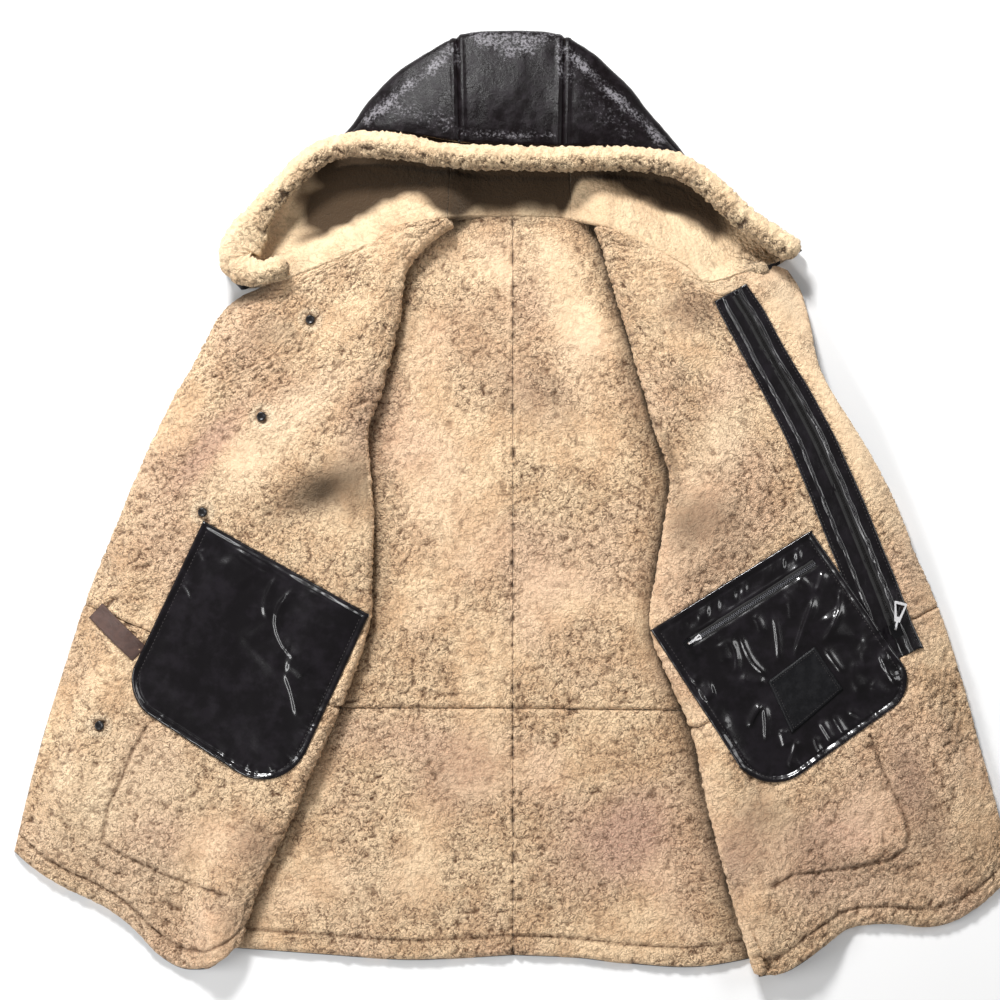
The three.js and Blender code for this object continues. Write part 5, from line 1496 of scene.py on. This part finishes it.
def make_patch(surface):
    """The bare patch: flat, with a soft edge and stitches round it."""
    share = np.linspace(0, 1, 34)
    u, v = np.meshgrid(share, share)
    plan = in_corners(PATCH, u, v)
    x, y = plan[..., 0], plan[..., 1]
    edge = np.minimum(np.minimum(u, 1 - u) * PATCH_SIZE[0], np.minimum(v, 1 - v) * PATCH_SIZE[1])
    z = surface.at(x, y)
    even_out(z, 30)
    z = z + 1.5 + 0.35 * bell(edge - 2, 1.4) - 0.8 * (1 - round_edge(edge, 1.5))
    piece, top = leather_piece("leather_patch", "patch", plan, z, PATCH_THICK, PATCH_HIDE, "patch")
    ring = np.concatenate([top[2, 2:-2], top[2:-2, -3], top[-3, -3:1:-1], top[-3:1:-1, 2]]) + [0, 0, 0.2]
    stitch_piece("stitches_patch", "patch", [ring], 3.2, 2.3, 0.3)


def make_strap(tops):
    """The brown strap: a flat band with thick turned edges, held down where the pocket covers it."""
    t = np.linspace(0, 1, 48)[:, None]
    line = STRAP[0] + (STRAP[1] - STRAP[0]) * t
    way = (STRAP[1] - STRAP[0]) / math.dist(*STRAP)
    side = np.array([-way[1], way[0]])
    share = np.linspace(-0.5, 0.5, 22)
    plan = line[:, None] + side * (share * STRAP_WIDE)[None, :, None]
    edge = STRAP_WIDE / 2 - np.abs(share) * STRAP_WIDE
    run = t[:, 0] * math.dist(*STRAP)
    ends = round_edge(run, 1.5)[:, None]
    base = tops["left"].at(plan[..., 0], plan[..., 1])
    rim_high = 0.5 * bell(edge - 1.6, 1.1)
    z = base + 1.6 + rim_high[None] + 1.0 * np.sin(np.pi * t) - 0.9 * (1 - round_edge(edge, 1.2)[None] * ends)
    z = z - 1.2 * smooth((t - 0.8) / 0.2)
    piece, top = leather_piece("leather_strap", "strap", plan, z, STRAP_THICK, STRAP_HIDE, "strap")


def make_buttons(tops):
    """Anchor buttons: a domed profile with a dished middle, turned about its axis."""
    profile = np.array([
        (0, 0), (4.2, 0), (5.0, 0.5), (BUTTON_RADIUS, 1.3), (5.1, 2.2), (4.6, 2.9), (3.9, 3.2), (3.3, 3.0),
        (2.4, 2.6), (1.2, 2.5), (0, 2.5),
    ])
    count = 28
    angle = 2 * np.pi * np.arange(count) / count
    for i, (bx, by) in enumerate(BUTTONS):
        r, h = profile[1:-1, :1], profile[1:-1, 1:]
        base = float(tops["left"].at(np.array([bx]), np.array([by]))[0]) + 0.2
        ring = np.stack([bx + r * np.cos(angle), by + r * np.sin(angle), base + h + 0 * angle], -1)
        points = np.concatenate([ring.reshape(-1, 3), [(bx, by, base)], [(bx, by, base + 2.5)]])
        rows = len(r)
        quads = grid_faces(rows, count, 0, True)
        low, high = rows * count, rows * count + 1
        j = np.arange(count)
        k = (j + 1) % count
        fans = np.concatenate([
            np.stack([k, j, np.full(count, low)], -1),
            np.stack([j + (rows - 1) * count, k + (rows - 1) * count, np.full(count, high)], -1),
        ])
        faces = np.concatenate([quads[:, [0, 1, 2]], quads[:, [0, 2, 3]], fans])
        node = "button_" + str(i + 1)
        attach(mesh_piece("anchor_" + node, points, outward(points, faces), [BLACK]), "black", node)


def finish_hardware():
    """The sliders and pulls keep their solids, with bevelled edges and nickel."""
    for name in ("zip_slider", "zip_pull", "pocket_zip_slider", "pocket_zip_pull"):
        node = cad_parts[name]
        node.data.materials.clear()
        node.data.materials.append(BLACK_STEEL if "slider" in name else STEEL)
        bevel = node.modifiers.new("edge", "BEVEL")
        bevel.width = 0.00035
        bevel.segments = 2
        bevel.limit_method = "ANGLE"


def area_light(name, place, size, energy):
    """A soft rectangle of light that points at the middle of the coat."""
    data = bpy.data.lights.new(name, "AREA")
    data.shape = "RECTANGLE"
    data.size, data.size_y = size
    data.energy = energy
    lamp = bpy.data.objects.new(name, data)
    bpy.context.scene.collection.objects.link(lamp)
    aim(lamp, place, (0, 0, 0))


def aim(thing, place, target):
    """Puts a light or camera at a place so that it looks at a target."""
    thing.location = place
    way = Vector(target) - Vector(place)
    thing.rotation_mode = "QUATERNION"
    thing.rotation_quaternion = way.to_track_quat("-Z", "Y")


def make_studio():
    """Pale floor, soft light and the camera at the photo's angle."""
    scene = bpy.context.scene
    scene.view_settings.view_transform = "Standard"
    corners = np.array([(-1, -1, 0), (1, -1, 0), (1, 1, 0), (-1, 1, 0)]) * FLOOR_HALF + [0, 0, -0.2]
    floor_material = plastic_material("floor", (0.82, 0.82, 0.82, 1), 0.9, 3.0)
    floor = mesh_piece("floor", corners, np.array([(0, 1, 2, 3)]), [floor_material])
    world = bpy.data.worlds.new("studio")
    world.use_nodes = True
    sky = world.node_tree.nodes["Background"]
    Nodes(world.node_tree).put(sky, {"Color": (1.0, 0.99, 0.98, 1), "Strength": 0.14})
    scene.world = world
    for name, place, size, energy in LIGHTS:
        area_light(name, place, size, energy)
    camera = bpy.data.objects.new("camera", bpy.data.cameras.new("camera"))
    scene.collection.objects.link(camera)
    camera.data.sensor_width = 36
    camera.data.lens = 36 * CAMERA_AWAY / PHOTO_SCALE
    camera.data.clip_end = 50
    angle = math.radians(CAMERA_ELEVATION)
    back = np.array([0, -math.cos(angle), math.sin(angle)]) * CAMERA_AWAY
    aim(camera, tuple(np.array(VIEW_CENTRE) + back), VIEW_CENTRE)
    scene.camera = camera


make_studio()
front_tops = make_fronts()
make_back()
make_hood()
make_rolled_edge()
make_sleeves()
make_left_pocket(front_tops)
strip = make_strip(front_tops)
make_front_zip(strip)
make_patch(make_right_pocket(front_tops, strip))
make_strap(front_tops)
make_buttons(front_tops)
finish_hardware()
